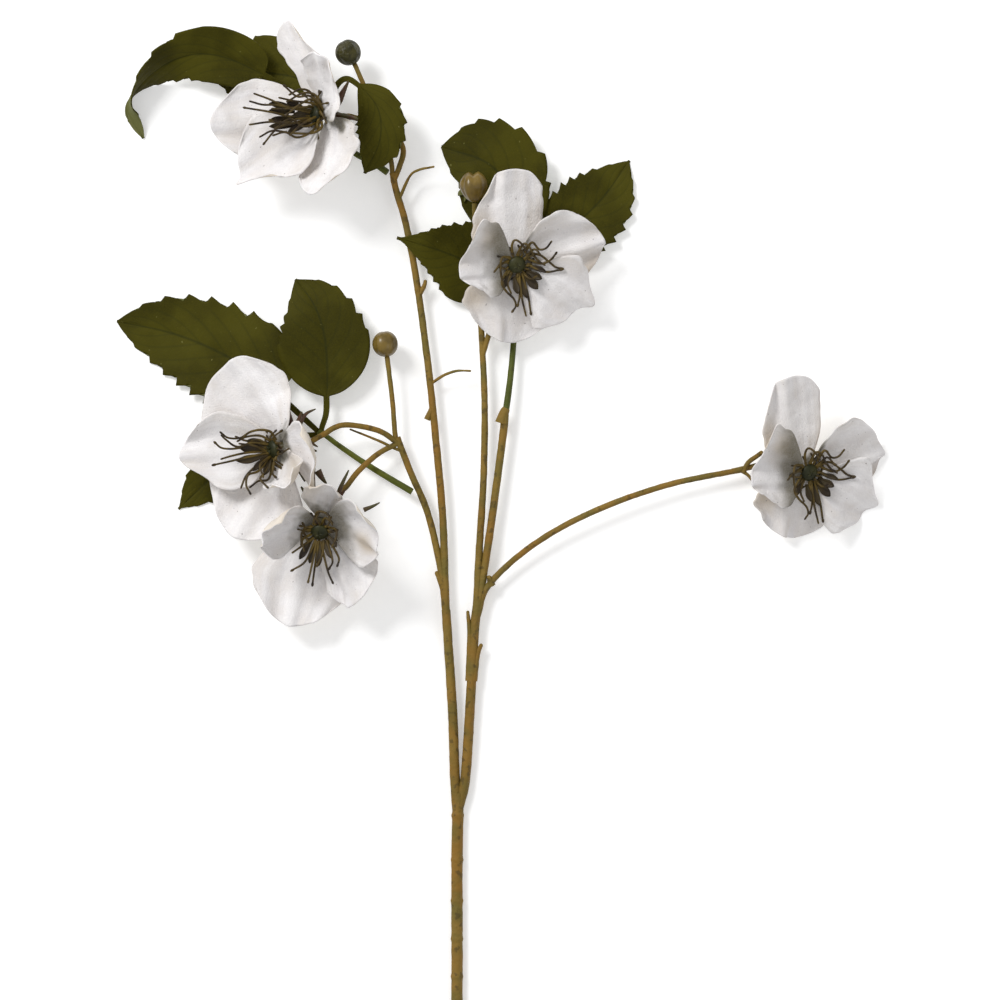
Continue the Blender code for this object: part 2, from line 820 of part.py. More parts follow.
def build_stamens(bloom: Bloom) -> None:
    """The dome of a bloom with its nectaries and curved stamens, grown as one."""
    rng = random.Random(bloom.seed)
    frame = frame_at(Vector(bloom.centre), bloom.facing)
    foot = PEG_TOP + FIT_GAP
    profile = (
        (0.0, foot),
        (DOME_RADIUS * 0.72, foot),
        (DOME_RADIUS, foot + DOME_HEIGHT * 0.4),
        (DOME_RADIUS * 0.72, foot + DOME_HEIGHT * 0.8),
        (0.0, foot + DOME_HEIGHT),
    )
    shapes = [turned("dome", profile, 8, frame)]
    low, high = bloom.stamen_spread
    for i in range(STAMEN_COUNT):
        length = bloom.stamen_length * rng.uniform(0.72, 1.0)
        ease = 0.35 + 0.65 * (i + 0.5) / STAMEN_COUNT
        spread = (low * ease, high * ease + rng.uniform(-8.0, 8.0))
        sway = rng.uniform(-STAMEN_SWAY, STAMEN_SWAY)
        path = filament_path(bloom, GOLDEN_TURN * i, sway, length, spread, foot + DOME_HEIGHT * 0.35)
        radii = [STAMEN_RADIUS * part for part in (0.9, 1.0, 1.0, 0.9, 1.25)]
        shapes.append(tube("stamen", path, radii, 4))
    for i in range(NECTARY_COUNT):
        turn = 2.0 * math.pi * (i + 0.5) / NECTARY_COUNT
        spread = (high * 0.75, high * 1.1)
        path = filament_path(bloom, turn, 0.0, NECTARY_LENGTH, spread, foot + DOME_HEIGHT * 0.45)
        radii = [NECTARY_RADIUS * part for part in (0.6, 0.8, 1.0, 1.0, 0.5)]
        shapes.append(tube("nectary", path, radii, 4))
    dress(fuse(f"stamens_{bloom.name}", shapes), STAMEN_COLOUR, 0.5)


def build_cup(bloom: Bloom) -> None:
    """The cup behind the petals, with its peg through their middle and its pointed bracts."""
    frame = frame_at(Vector(bloom.centre), bloom.facing)
    profile = (
        (0.0, -CUP_HEIGHT),
        (PEDICEL_RADIUS, -CUP_HEIGHT),
        (CUP_RADIUS * 0.5, -CUP_HEIGHT * 0.7),
        (CUP_RADIUS * 0.95, -CUP_HEIGHT * 0.35),
        (CUP_RADIUS, CUP_TOP),
        (PEG_RADIUS, CUP_TOP),
        (PEG_RADIUS, PEG_TOP),
        (0.0, PEG_TOP),
    )
    shapes = [turned("cup", profile, 8, frame)]
    for i in range(BRACT_COUNT):
        turn = first_turn(bloom) + 2.0 * math.pi * (i + 0.5) / BRACT_COUNT
        outward = Vector((math.cos(turn), math.sin(turn), 0.0))
        path = []
        for part, drop in BRACT_DROP:
            reach = CUP_RADIUS * 0.5 + bloom.bract_length * part
            path.append(frame @ (outward * reach - Vector((0.0, 0.0, CUP_HEIGHT * drop))))
        shapes.append(tube("bract", path, [BRACT_WIDTH * part for part in (0.3, 0.5, 0.1)], 4))
    dress(fuse(f"cup_{bloom.name}", shapes), CUP_COLOUR, 0.6)


def leaf_half_width(leaf: Leaf, s: float) -> float:
    """The half width of a leaf at a fraction of its length, without its teeth."""
    narrow = 0.5 * LEAF_STALK_WIDTH
    if s <= leaf.blade_start:
        return narrow
    u = (s - leaf.blade_start) / (1.0 - leaf.blade_start)
    power = math.log(0.5) / math.log(leaf.peak)
    return max(0.5 * leaf.width * math.sin(math.pi * u**power) ** leaf.fullness, narrow * (1.0 - 0.6 * u))


def leaf_surface(leaf: Leaf, along: int) -> Callable[[float, float], Vector]:
    """The middle surface of a leaf with teeth at every second station of its edges."""

    def place(s: float, t: float) -> Vector:
        station = round(s * along)
        half = leaf_half_width(leaf, s)
        forward = 0.0
        toothed = s > leaf.teeth_from and 0 < station < along
        if toothed and abs(t) > 0.99:
            if station % 2:
                forward = 0.45 / along
            else:
                half *= 1.0 - leaf.tooth * 1.6
        middle, ahead = path_point(leaf.midrib, min(s + forward, 1.0))
        up = Vector((0.0, 0.0, 1.0))
        facing = (up - ahead * up.dot(ahead)).normalized()
        roll = math.radians(leaf.roll[0] + (leaf.roll[1] - leaf.roll[0]) * s)
        facing = Matrix.Rotation(roll, 3, ahead) @ facing
        side = ahead.cross(facing)
        height = leaf.fold * abs(t) * half + LEAF_WAVE * math.sin(9.0 * s) * t * abs(t)
        return middle + side * (half * (t + leaf.skew * (1.0 - t * t))) + facing * height

    return place


def build_leaf(leaf: Leaf) -> None:
    """A toothed leaf blade with its narrow foot."""
    stations = [i / LEAF_ALONG for i in range(LEAF_ALONG + 1)]
    obj = sheet(leaf.name, leaf_surface(leaf, LEAF_ALONG), stations, LEAF_ACROSS, LEAF_THICKNESS)
    dress(obj, LEAF_COLOUR, 0.45)


def main_stem() -> bpy.types.Object:
    """The thick lower stem with its raised leaf scars and its plain cut end."""
    path = []
    radii = []
    stations = [0.0, 1.0]
    for scar in MAIN_SCARS:
        stations += [scar - 0.012, scar, scar + 0.012]
    for fraction in sorted(stations):
        place, _ = path_point(MAIN_STEM, fraction)
        path.append(place)
        radii.append(MAIN_RADIUS * (1.0 + 0.13 * (fraction in MAIN_SCARS)))
    return tube("main", path, radii, 8)


def build_stem(blooms: Sequence[Bloom]) -> None:
    """The stem with its forks, branches, twigs, tendrils and pedicels, grown as one."""
    shapes = [main_stem()]
    for path, radii, sides in (
        (LEFT_FORK, (FORK_RADIUS, BRANCH_RADIUS * 1.15), 6),
        (RIGHT_FORK, (FORK_RADIUS, BRANCH_RADIUS * 1.2), 6),
        (INNER_BRANCH, (BRANCH_RADIUS, BRANCH_RADIUS * 0.85), 6),
        (OUTER_BRANCH, (BRANCH_RADIUS * 0.9, BRANCH_RADIUS * 0.85), 6),
        (CENTRE_BRANCH, (BRANCH_RADIUS, TWIG_RADIUS * 0.9), 6),
        (LEAF_BRANCH, (BRANCH_RADIUS, BRANCH_RADIUS), 6),
        (RIGHT_ARC, (TWIG_RADIUS * 1.1, TWIG_RADIUS), 6),
    ):
        points = smooth_path(path, 2)
        shapes.append(tube("branch", points, tapered(points, *radii), sides))
    for twig in TWIGS:
        points = smooth_path(twig.path, 2)
        shapes.append(tube("twig", points, tapered(points, twig.radius, twig.radius * twig.taper), 4))
    by_name = {bloom.name: bloom for bloom in blooms}
    for pedicel in PEDICELS:
        bloom = by_name[pedicel.bloom]
        knots = [Vector(p) for p in pedicel.path]
        knots += [bloom.along_axis(-CUP_HEIGHT - run) for run in (4.5, 2.0, FIT_GAP)]
        points = smooth_path(knots, 2)
        shapes.append(tube("pedicel", points, tapered(points, PEDICEL_RADIUS, PEDICEL_RADIUS), 6))
    dress(fuse("stem", shapes), STEM_COLOUR, 0.6)


def build_leaf_stalk(stalk: LeafStalk) -> None:
    """A green stalk, thicker where it stands in its socket, with a knuckle that its leaves leave from."""
    points = smooth_path(stalk.path, 2)
    radii = tapered(points, LEAF_STALK_RADIUS * 1.35, LEAF_STALK_RADIUS)
    end = points.pop()
    ahead = (end - points[-1]).normalized()
    points += [end - ahead * KNUCKLE_LENGTH, end, end + ahead * KNUCKLE_LENGTH * 0.5]
    radii += [KNUCKLE_RADIUS, KNUCKLE_RADIUS * 0.7]
    dress(tube(stalk.name, points, radii, 6), LEAF_STALK_COLOUR, 0.55)


@dataclass(frozen=True)
class Bud:
    """A round closed bud: the end of its stalk, the way it points and how deep its cleft is."""

    name: str
    seat: Point
    axis: Point
    radius: float
    cleft: float
    point: float


BUDS = (
    Bud("bud_top", (-65.5, 226.0, 14.2), (-0.45, 0.85, 0.12), BUD_RADIUS, 0.05, 0.0),
    Bud("bud_left", (-51.0, 94.0, 10.3), (-0.12, 0.98, 0.04), BUD_RADIUS, 0.05, 0.0),
    Bud("bud_middle", (-11.5, 163.5, 16.5), (-0.03, 0.96, 0.15), BUD_RADIUS * 1.1, 0.22, 0.5),
)


def build_bud(bud: Bud) -> None:
    """A round bud with shallow grooves, or a deeper cleft and a drawn-out foot."""
    axis = Vector(bud.axis).normalized()
    length = bud.radius * (1.0 + 0.2 * bud.point)
    frame = frame_at(Vector(bud.seat) + axis * (length + FIT_GAP), axis)
    bm = bmesh.new()
    bmesh.ops.create_uvsphere(bm, u_segments=12, v_segments=7, radius=1.0)
    for vert in bm.verts:
        turn = math.atan2(vert.co.y, vert.co.x)
        rounded = math.hypot(vert.co.x, vert.co.y)
        width = 1.0 - 0.06 * rounded * (0.5 - 0.5 * math.cos(6.0 * turn))
        width *= 1.0 - 0.45 * bud.point * max(-vert.co.z, 0.0)
        cleft = bud.cleft * max(vert.co.z, 0.0) * (1.0 - min(abs(vert.co.x) * 3.0, 1.0))
        across = width * bud.radius
        vert.co = Vector((vert.co.x * across, vert.co.y * across, (vert.co.z - cleft) * length))
    bmesh.ops.transform(bm, matrix=Matrix.Scale(MM, 4) @ frame, verts=bm.verts)
    mesh = bpy.data.meshes.new(bud.name)
    bm.to_mesh(mesh)
    bm.free()
    dress(add_object(bud.name, mesh), BUD_COLOUR, 0.35)


def main() -> None:
    """Builds the spray."""
    clear_scene()
    build_stem(BLOOMS)
    for stalk in LEAF_STALKS:
        build_leaf_stalk(stalk)
    for leaf in LEAVES:
        build_leaf(leaf)
    for bud in BUDS:
        build_bud(bud)
    for bloom in BLOOMS:
        build_cup(bloom)
        build_petals(bloom)
        build_stamens(bloom)


if __name__ == "__main__":
    main()
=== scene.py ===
"""Looks of a branching hellebore spray that lies on a pale table, seen from straight above.

Each sub-assembly builds one kind of piece in the place of its solid in the frame: petals, tufts of
stamens, cups, leaves, green stalks, buds and the stem. Sizes are in millimetres, and every mesh is
made in metres.
"""

from __future__ import annotations

import logging
import math
import random
from collections.abc import Callable, Iterable, Sequence
from dataclasses import dataclass, field
from enum import Enum
from functools import reduce

import bmesh
import bpy
from mathutils import Matrix, Vector

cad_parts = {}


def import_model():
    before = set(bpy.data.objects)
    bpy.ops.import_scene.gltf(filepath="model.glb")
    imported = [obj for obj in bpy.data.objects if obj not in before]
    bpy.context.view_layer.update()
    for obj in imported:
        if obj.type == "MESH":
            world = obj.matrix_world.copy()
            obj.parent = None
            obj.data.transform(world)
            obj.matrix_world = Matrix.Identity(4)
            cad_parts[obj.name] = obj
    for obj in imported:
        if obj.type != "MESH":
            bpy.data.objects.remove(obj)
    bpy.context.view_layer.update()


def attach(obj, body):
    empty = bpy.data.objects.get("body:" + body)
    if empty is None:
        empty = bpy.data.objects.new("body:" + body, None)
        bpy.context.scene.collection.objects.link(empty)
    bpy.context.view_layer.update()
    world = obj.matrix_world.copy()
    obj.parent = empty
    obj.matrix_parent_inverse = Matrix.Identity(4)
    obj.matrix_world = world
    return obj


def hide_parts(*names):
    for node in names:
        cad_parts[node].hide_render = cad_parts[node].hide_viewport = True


LOG = logging.getLogger("spray")

Point = tuple[float, float, float]
PlanPoints = tuple[tuple[float, float], ...]
Knots = Sequence[Point | Vector]
Colour = tuple[float, float, float]
Surface = Callable[[float, float], Vector]
Socket = bpy.types.NodeSocket
Sockets = bpy.types.bpy_prop_collection
Mesh = bpy.types.Mesh
Material = bpy.types.Material
Wire = Socket | float | int | str | Colour | Material
Wires = dict[str | int, Wire]

MM = 0.001
BODY = "root"
UP = Vector((0.0, 0.0, 1.0))

# Radii of the stem's parts and of the green stalks
MAIN_RADIUS = 2.6
FORK_RADIUS = 2.3
BRANCH_RADIUS = 1.75
TWIG_RADIUS = 1.3
PEDICEL_RADIUS = 1.25
TENDRIL_RADIUS = 0.75
LEAF_STALK_RADIUS = 1.1
KNUCKLE_RADIUS = 2.1
KNUCKLE_LENGTH = 2.2
BUD_RADIUS = 5.9

# Petals: their roots, how a higher one lies over its neighbours, and their plain form
PETAL_ROOT_RADIUS = 2.85
PETAL_ROOT_WIDTH = 3.4
LAYER_STEP = 1.3
RIM_OVER = 0.26
RIM_UNDER = -0.04
PETAL_PEAK = 0.6
PETAL_SWELL = 0.85
PETAL_ROUND_OFF = 0.24
PETAL_TURNED = 0.44
PETAL_RUFFLE = 0.6
CREASE_DEPTH = 1.25

# Cups with their bracts, and the dome with its stamens
FIT_GAP = 0.3
CUP_HEIGHT = 8.3
CUP_RADIUS = 3.8
CUP_TOP = -1.2
PEG_RADIUS = 2.2
PEG_TOP = 3.2
BRACT_WIDTH = 3.6
BRACT_COUNT = 5
BRACT_DROP = ((0.0, 0.45), (0.4, 0.58), (1.0, 0.85))
DOME_HEIGHT = 4.6
DOME_RADIUS = 3.7
PLAN_STEP = 0.45

# Leaves
LEAF_STALK_WIDTH = 2.4
LEAF_WAVE = 0.5
STALK_TUCK = 1.8

# Fineness of the visible meshes
PETAL_ROWS = 44
PETAL_COLUMNS = 28
LEAF_ROWS = 168
LEAF_COLUMNS = 24
STEM_SIDES = 18
PATH_STEP = 1.3


def bump(value: float, middle: float, breadth: float) -> float:
    """A smooth rise from 0 to 1 and back round a middle."""
    return math.exp(-(((value - middle) / breadth) ** 2))


def eased(steps: Sequence[float], s: float) -> float:
    """Runs smoothly through factors that are evenly spaced from root to tip.

    Args:
        steps: The factors.
        s: The length from 0 to 1.

    Returns:
        The factor there.
    """
    place = min(max(s, 0.0), 0.9999) * (len(steps) - 1)
    k = int(place)
    u = place - k
    return steps[k] + (steps[k + 1] - steps[k]) * u * u * (3.0 - 2.0 * u)


def frame_at(origin: Vector, up: Vector) -> Matrix:
    """Makes a frame whose Z axis is up and whose X axis stays as level as it can.

    Args:
        origin: The frame's origin.
        up: The direction of its Z axis.

    Returns:
        The frame as a 4 by 4 matrix.
    """
    z = up.normalized()
    reference = Vector((1.0, 0.0, 0.0)) if abs(z.x) < 0.8 else UP
    x = (reference - z * reference.dot(z)).normalized()
    y = z.cross(x)
    matrix = Matrix((x, y, z)).transposed().to_4x4()
    matrix.translation = origin
    return matrix


@dataclass(frozen=True)
class Petal:
    """One petal from its root in the bloom to its tip.

    A petal of a higher layer lies over its neighbours. bow lifts its middle, look_up turns its face from
    the bloom's axis towards +Z, pleat is the height of its long folds, and end is how broad its tip is.
    """

    tip: Point
    width: float
    layer: int
    bow: float = 0.0
    look_up: float = 0.0
    pleat: float = 0.35
    end: float = 0.7

    def half_width(self, s: float) -> float:
        """Finds the half width of the plain form.

        Args:
            s: The length from 0 to 1.

        Returns:
            The half width in millimetres.
        """
        root = PETAL_ROOT_WIDTH / self.width
        if s < PETAL_PEAK:
            part = root + (1.0 - root) * math.sin(0.5 * math.pi * s / PETAL_PEAK) ** PETAL_SWELL
        else:
            past = (s - PETAL_PEAK) / (1.0 - PETAL_PEAK)
            part = self.end + (1.0 - self.end) * math.cos(0.5 * math.pi * past)
        return 0.5 * self.width * part


@dataclass(frozen=True)
class Bloom:
    """A bloom: its centre, the way it faces, its petals in turn and how long its bracts are."""

    name: str
    centre: Point
    axis: Point
    petals: tuple[Petal, ...]
    bract_length: float
    seed: int

    @property
    def facing(self) -> Vector:
        """The bloom's axis as a unit vector."""
        return Vector(self.axis).normalized()

    @property
    def frame(self) -> Matrix:
        """The frame at the bloom's centre with Z along its axis."""
        return frame_at(Vector(self.centre), self.facing)

    @property
    def first_turn(self) -> float:
        """The turn of the first petal's root that suits the tips of all of them best.

        Returns:
            The angle round the axis in radians.
        """
        inverse = self.frame.inverted()
        step = 2.0 * math.pi / len(self.petals)
        offsets = []
        for i, petal in enumerate(self.petals):
            local = inverse @ Vector(petal.tip)
            turn = math.atan2(local.y, local.x) - step * i
            offsets.append((turn + math.pi) % (2.0 * math.pi) - math.pi)
        return sum(offsets) / len(offsets)

    def along_axis(self, height: float) -> Vector:
        """The place at a height along the axis, in millimetres."""
        return Vector(self.centre) + self.facing * height


@dataclass(frozen=True)
class Drape:
    """How a visible petal departs from the plain form of its solid.

    left and right scale the half width beside the midline at a quarter, half, three quarters and all of
    the length, and root scales both at the root. swing bends the midline sideways at the tip, lean turns
    the face further up and ruffle scales the rim's waves. corner is a place across the tip and how far the
    rim reaches out there. Each crease is a place across, a height and a breadth. The stain's reach is how
    far the dark foot goes: the olive stain at the root and, where it reaches far, painted shade round the
    centre. Each mark of painted warm shade in a fold is a place along, a place across and a size.
    """

    left: tuple[float, float, float, float] = (1.0, 1.0, 1.0, 1.0)
    right: tuple[float, float, float, float] = (1.0, 1.0, 1.0, 1.0)
    root: tuple[float, float] = (1.0, 1.0)
    swing: float = 0.0
    lean: float = 0.0
    ruffle: float = 1.0
    corner: tuple[float, float] = (0.0, 0.0)
    creases: tuple[Point, ...] = ()
    stain: float = 0.16
    blush: tuple[Point, ...] = ()


@dataclass(frozen=True)
class TuftPlan:
    """The stamens of one bloom as seen from above, in steps of PLAN_STEP from the dome's middle.

    Each paddle has its half width first. lift is how high the ends stand, least and most. hug is how far
    the threads follow the bloom's face, from 0 for level with the table to 1. shift moves the dome from
    its solid's middle, in millimetres.
    """

    threads: tuple[PlanPoints, ...]
    paddles: tuple[tuple[float, PlanPoints], ...]
    lift: tuple[float, float]
    hug: float = 0.0
    shift: Point = (0.0, 0.0, 0.0)


@dataclass(frozen=True)
class Leaf:
    """One leaf: the points of its midrib, its width and the form of its blade.

    blade_start is where the blade leaves its stalk, peak is where it is widest and fullness how round it
    is there. fold lifts its sides, roll turns it over from root to tip in degrees, and gather is the power
    by which the roll keeps to the tip. skew moves the blade aside of its midrib.
    """

    name: str
    midrib: tuple[Point, ...]
    width: float
    blade_start: float
    peak: float = 0.45
    fullness: float = 0.75
    fold: float = 0.12
    roll: tuple[float, float] = (0.0, 0.0)
    gather: float = 1.0
    teeth_from: float = 0.45
    tooth: float = 0.1
    skew: float = 0.0


@dataclass(frozen=True)
class Twig:
    """A thin part of the stem: its path from root to end, its radius and how it tapers."""

    path: tuple[Point, ...]
    radius: float
    taper: float = 1.0


@dataclass(frozen=True)
class Pedicel:
    """The part of the stem that ends in a bloom's cup."""

    bloom: str
    path: tuple[Point, ...]


@dataclass(frozen=True)
class LeafStalk:
    """A green stalk that stands in a socket of the stem and carries three leaves."""

    name: str
    path: tuple[Point, ...]


@dataclass(frozen=True)
class Bud:
    """A round closed bud: where its stalk ends, the way it points, its cleft, drawn-out foot and finish."""

    name: str
    seat: Point
    axis: Point
    radius: float = BUD_RADIUS
    cleft: float = 0.05
    point: float = 0.0
    finish: str = "bud_brown"


class Slot(Enum):
    """The record's material slots."""

    STEM = "stem"
    LEAF_STALK = "leaf_stalk"
    LEAF = "leaf"
    PETAL = "petal"
    STAMEN = "stamen"
    CUP = "cup"
    BUD = "bud"


# Places of the stem's parts, stalks and leaves
MAIN_STEM = ((-19.5, -246, 2.95), (-19.5, -178.5, 2.95), (-19.5, -133, 2.95), (-19, -103, 3.1))
MAIN_SCARS = (0.17, 0.29, 0.42, 0.54, 0.66, 0.79, 0.93)
LEFT_FORK = (
    (-19.5, -110, 3), (-20.5, -94.5, 3.2), (-21, -79, 3.5), (-21.5, -66, 4), (-22.5, -50, 4.4),
    (-24.5, -20, 5),
)
INNER_BRANCH = (
    (-24.3, -24, 5), (-25, -4, 5.3), (-26, 23, 5.8), (-29, 56.5, 6.2), (-32.5, 90, 6.3), (-37.5, 127, 6.3),
    (-42.5, 154, 6.8), (-47, 169.5, 8), (-48.5, 177.5, 8.8),
)
OUTER_BRANCH = ((-24.5, -24, 5), (-26.5, -4, 5.3), (-32.5, 23, 6.2), (-41, 43.5, 7.2), (-46.5, 58, 7.8))
RIGHT_FORK = (
    (-19, -110, 3), (-16, -98, 3.4), (-14.5, -79, 4), (-13, -53.5, 4.5), (-11.5, -28, 5), (-10, -16, 5.2),
)
CENTRE_BRANCH = (
    (-10.8, -22, 5.1), (-9.5, 6, 5.5), (-7.5, 39.5, 6), (-7, 73, 6.4), (-8.5, 106.5, 6.8), (-10, 124.5, 8),
    (-11, 143.5, 11.5), (-11.5, 163.5, 16.5),
)
LEAF_BRANCH = ((-10.4, -22, 5.1), (-7.5, -4, 5.4), (-3.5, 23, 6), (1, 56.5, 6.4), (2.3, 68.5, 6.8))
RIGHT_ARC = (
    (-10.3, -23, 5.2), (-5, -8.5, 5.6), (15, 9.5, 7), (42, 24.5, 8.2), (75.5, 36.5, 8), (109.5, 43.5, 6.4),
)
TWIGS = (
    Twig(((-46.2, 54, 7.6), (-47.5, 60, 8), (-48.5, 73, 9), (-50, 86, 10), (-51, 94, 10.3)), radius=1.1),
    Twig(
        ((-48.3, 173, 8.4), (-49.5, 184, 9.5), (-54, 200, 12), (-60, 213.5, 13.2), (-65.5, 226, 14.2)),
        radius=1.1,
    ),
    Twig(
        ((-44, 52, 7.4), (-46.5, 52.5, 7.8), (-55, 56.5, 9), (-67.5, 61.5, 10.5)), radius=TENDRIL_RADIUS,
        taper=0.5,
    ),
    Twig(
        ((-45.8, 165, 7.6), (-41, 175.5, 10), (-37, 178.5, 12), (-30, 180, 13)), radius=TENDRIL_RADIUS,
        taper=0.6,
    ),
    Twig(
        ((-31.5, 82, 6.3), (-25.5, 86, 8), (-19.5, 88, 9.5), (-13.5, 88, 10)), radius=TENDRIL_RADIUS,
        taper=0.6,
    ),
    Twig(((-37, 122, 6.3), (-34.5, 126, 6.6), (-33.8, 128.5, 6.8)), radius=1.4, taper=0.6),
    Twig(((-33, 66, 6.3), (-31, 71, 6.6), (-30.3, 74.5, 6.8)), radius=1.5, taper=0.6),
    Twig(((-25, -12, 5.1), (-27.5, -5.5, 5.6), (-28.5, -3.5, 5.8)), radius=1.8, taper=0.6),
    Twig(((-12.3, -52, 4.6), (-10.2, -40, 5.2), (-8.6, -36, 5.6)), radius=2.0, taper=0.4),
    Twig(((-14, -52, 4.6), (-13.8, -32, 5.4), (-14.6, -21, 6)), radius=1.8, taper=0.4),
    Twig(((110, 42, 6.8), (112, 46.5, 7.2), (118, 51, 7.6)), radius=1.1, taper=0.9),
    Twig(((109, 43, 6.6), (112, 41, 7), (114.5, 38, 7.2)), radius=0.9, taper=0.7),
    Twig(((0.2, 64.5, 6.5), (1.2, 67.5, 6.6), (2.2, 70, 6.7)), radius=2.6, taper=0.8),
    Twig(((-3.8, -9, 5.6), (-4.5, -7, 6.2), (-4.8, -5.5, 7)), radius=1.7, taper=0.7),
)
PEDICELS = (
    Pedicel(
        "top",
        (
            (-48, 174, 8.6), (-45, 181.5, 9.6), (-43.8, 188.5, 10.4), (-48.5, 195.5, 11.4),
            (-57, 199.5, 13.2),
        ),
    ),
    Pedicel("left", ((-45.8, 55, 7.7), (-55, 61, 11), (-70.5, 63.5, 14), (-80, 59, 15.4))),
    Pedicel("low", ((-45.8, 55.5, 7.7), (-55, 50.5, 10), (-64, 42.5, 12), (-70, 35, 12.4))),
    Pedicel("middle", ((-8, 95, 6.7), (-4, 108, 8), (1, 122, 9.5), (3.4, 133, 10))),
    Pedicel("right", ((105, 42.8, 6.6), (114, 44.8, 5.4), (122, 46.6, 4.2))),
)
LEAF_STALKS = (
    LeafStalk(
        "leaf_stalk_top",
        ((-50.9, 177.6, 8.2), (-56.5, 181.5, 7), (-66.5, 187, 6.2), (-71.5, 193.5, 6.2), (-77.5, 205, 6.8)),
    ),
    LeafStalk(
        "leaf_stalk_left",
        ((-39.8, 33.4, 6.3), (-51, 40, 5.5), (-61.5, 46.5, 5), (-72.5, 54, 5), (-81.2, 60.5, 5.2)),
    ),
    LeafStalk(
        "leaf_stalk_middle",
        ((2.7, 70.8, 6.8), (4.5, 84, 6.3), (6, 100, 5.5), (7, 115.5, 5), (6, 133.2, 5)),
    ),
)
LEAVES = (
    Leaf(
        "leaf_top_outer",
        (
            (-79.5, 206.5, 7.4), (-92, 213, 8.4), (-119, 228, 10.5), (-138.4, 231, 12.5),
            (-156, 223.2, 10.5), (-167.8, 208.5, 5), (-161.5, 193.5, 0.6),
        ),
        width=26.0, blade_start=0.26, peak=0.3, fullness=0.45, fold=0.12, roll=(5.0, -150.0), gather=2.5,
        teeth_from=0.5, tooth=0.12, skew=-0.03,
    ),
    Leaf(
        "leaf_top_back", ((-78.9, 207.2, 5.9), (-90, 219.5, 5.2), (-106, 223, 3.6), (-133.5, 226, 2)),
        width=34.0, blade_start=0.15, peak=0.45, fullness=0.6, fold=0.03, teeth_from=0.6, tooth=0.08,
    ),
    Leaf(
        "leaf_top_inner",
        (
            (-75.8, 206.8, 7.4), (-74, 216, 13), (-67.5, 219, 18.5), (-55.5, 207, 21), (-54, 192, 19.5),
            (-61, 177, 13.5),
        ),
        width=24.0, blade_start=0.36, peak=0.5, fullness=0.7, fold=-0.12, teeth_from=0.5, tooth=0.13,
    ),
    Leaf(
        "leaf_left_wide",
        (
            (-83.6, 61.9, 5.4), (-95, 72.5, 6), (-109, 85.5, 4.5), (-128, 97, 2.2), (-149.5, 105.5, 0.4),
            (-173.5, 110.5, 0.4),
        ),
        width=48.0, blade_start=0.22, peak=0.34, fullness=0.5, fold=0.06, teeth_from=0.4, tooth=0.12,
    ),
    Leaf(
        "leaf_left_round",
        (
            (-80.3, 63.1, 6.7), (-78.5, 70, 7.6), (-78.6, 84, 8), (-80, 103, 8.4), (-84.5, 117.5, 7.6),
            (-92.5, 129.5, 4),
        ),
        width=42.0, blade_start=0.2, peak=0.43, fullness=0.62, fold=0.06, teeth_from=0.55, tooth=0.08,
        skew=0.04,
    ),
    Leaf(
        "leaf_left_low",
        ((-83.6, 59.2, 4.2), (-95, 58, 4.2), (-111, 52.5, 3), (-129, 41, 1.4), (-145.5, 25.5, 0.4)),
        width=24.0, blade_start=0.2, peak=0.55, fullness=0.8, fold=0.06, teeth_from=0.5, tooth=0.12,
    ),
    Leaf(
        "leaf_middle_up",
        (
            (5.6, 135.2, 6), (5, 148, 6), (2.6, 166, 7), (0.2, 177.5, 7.8), (-9, 184.5, 7.4),
            (-26.5, 189.5, 3.6),
        ),
        width=44.0, blade_start=0.08, peak=0.55, fullness=0.5, fold=0.03, teeth_from=0.42, tooth=0.08,
        skew=-0.04,
    ),
    Leaf(
        "leaf_middle_right",
        ((8.9, 134, 5), (20, 143, 5.6), (33, 153.5, 5), (46.5, 166.5, 2.6), (58.5, 183.5, 0.4)), width=37.0,
        blade_start=0.14, peak=0.48, fullness=0.72, fold=0.05, teeth_from=0.4, tooth=0.11,
    ),
    Leaf(
        "leaf_middle_left",
        ((2.7, 133.2, 4), (-12.6, 137, 4.2), (-26, 142, 7), (-36, 145, 10), (-46.5, 148, 11.6)), width=38.0,
        blade_start=0.08, peak=0.27, fullness=1.1, fold=0.02, teeth_from=0.42, tooth=0.11,
    ),
)
BUDS = (
    Bud("bud_top", (-65.5, 226, 14.2), (-0.45, 0.85, 0.12), finish="bud_dark_green"),
    Bud("bud_left", (-51, 94, 10.3), (-0.12, 0.98, 0.04)),
    Bud("bud_middle", (-11.5, 163.5, 16.5), (-0.03, 0.96, 0.15), BUD_RADIUS * 1.1, cleft=0.22, point=0.5),
)

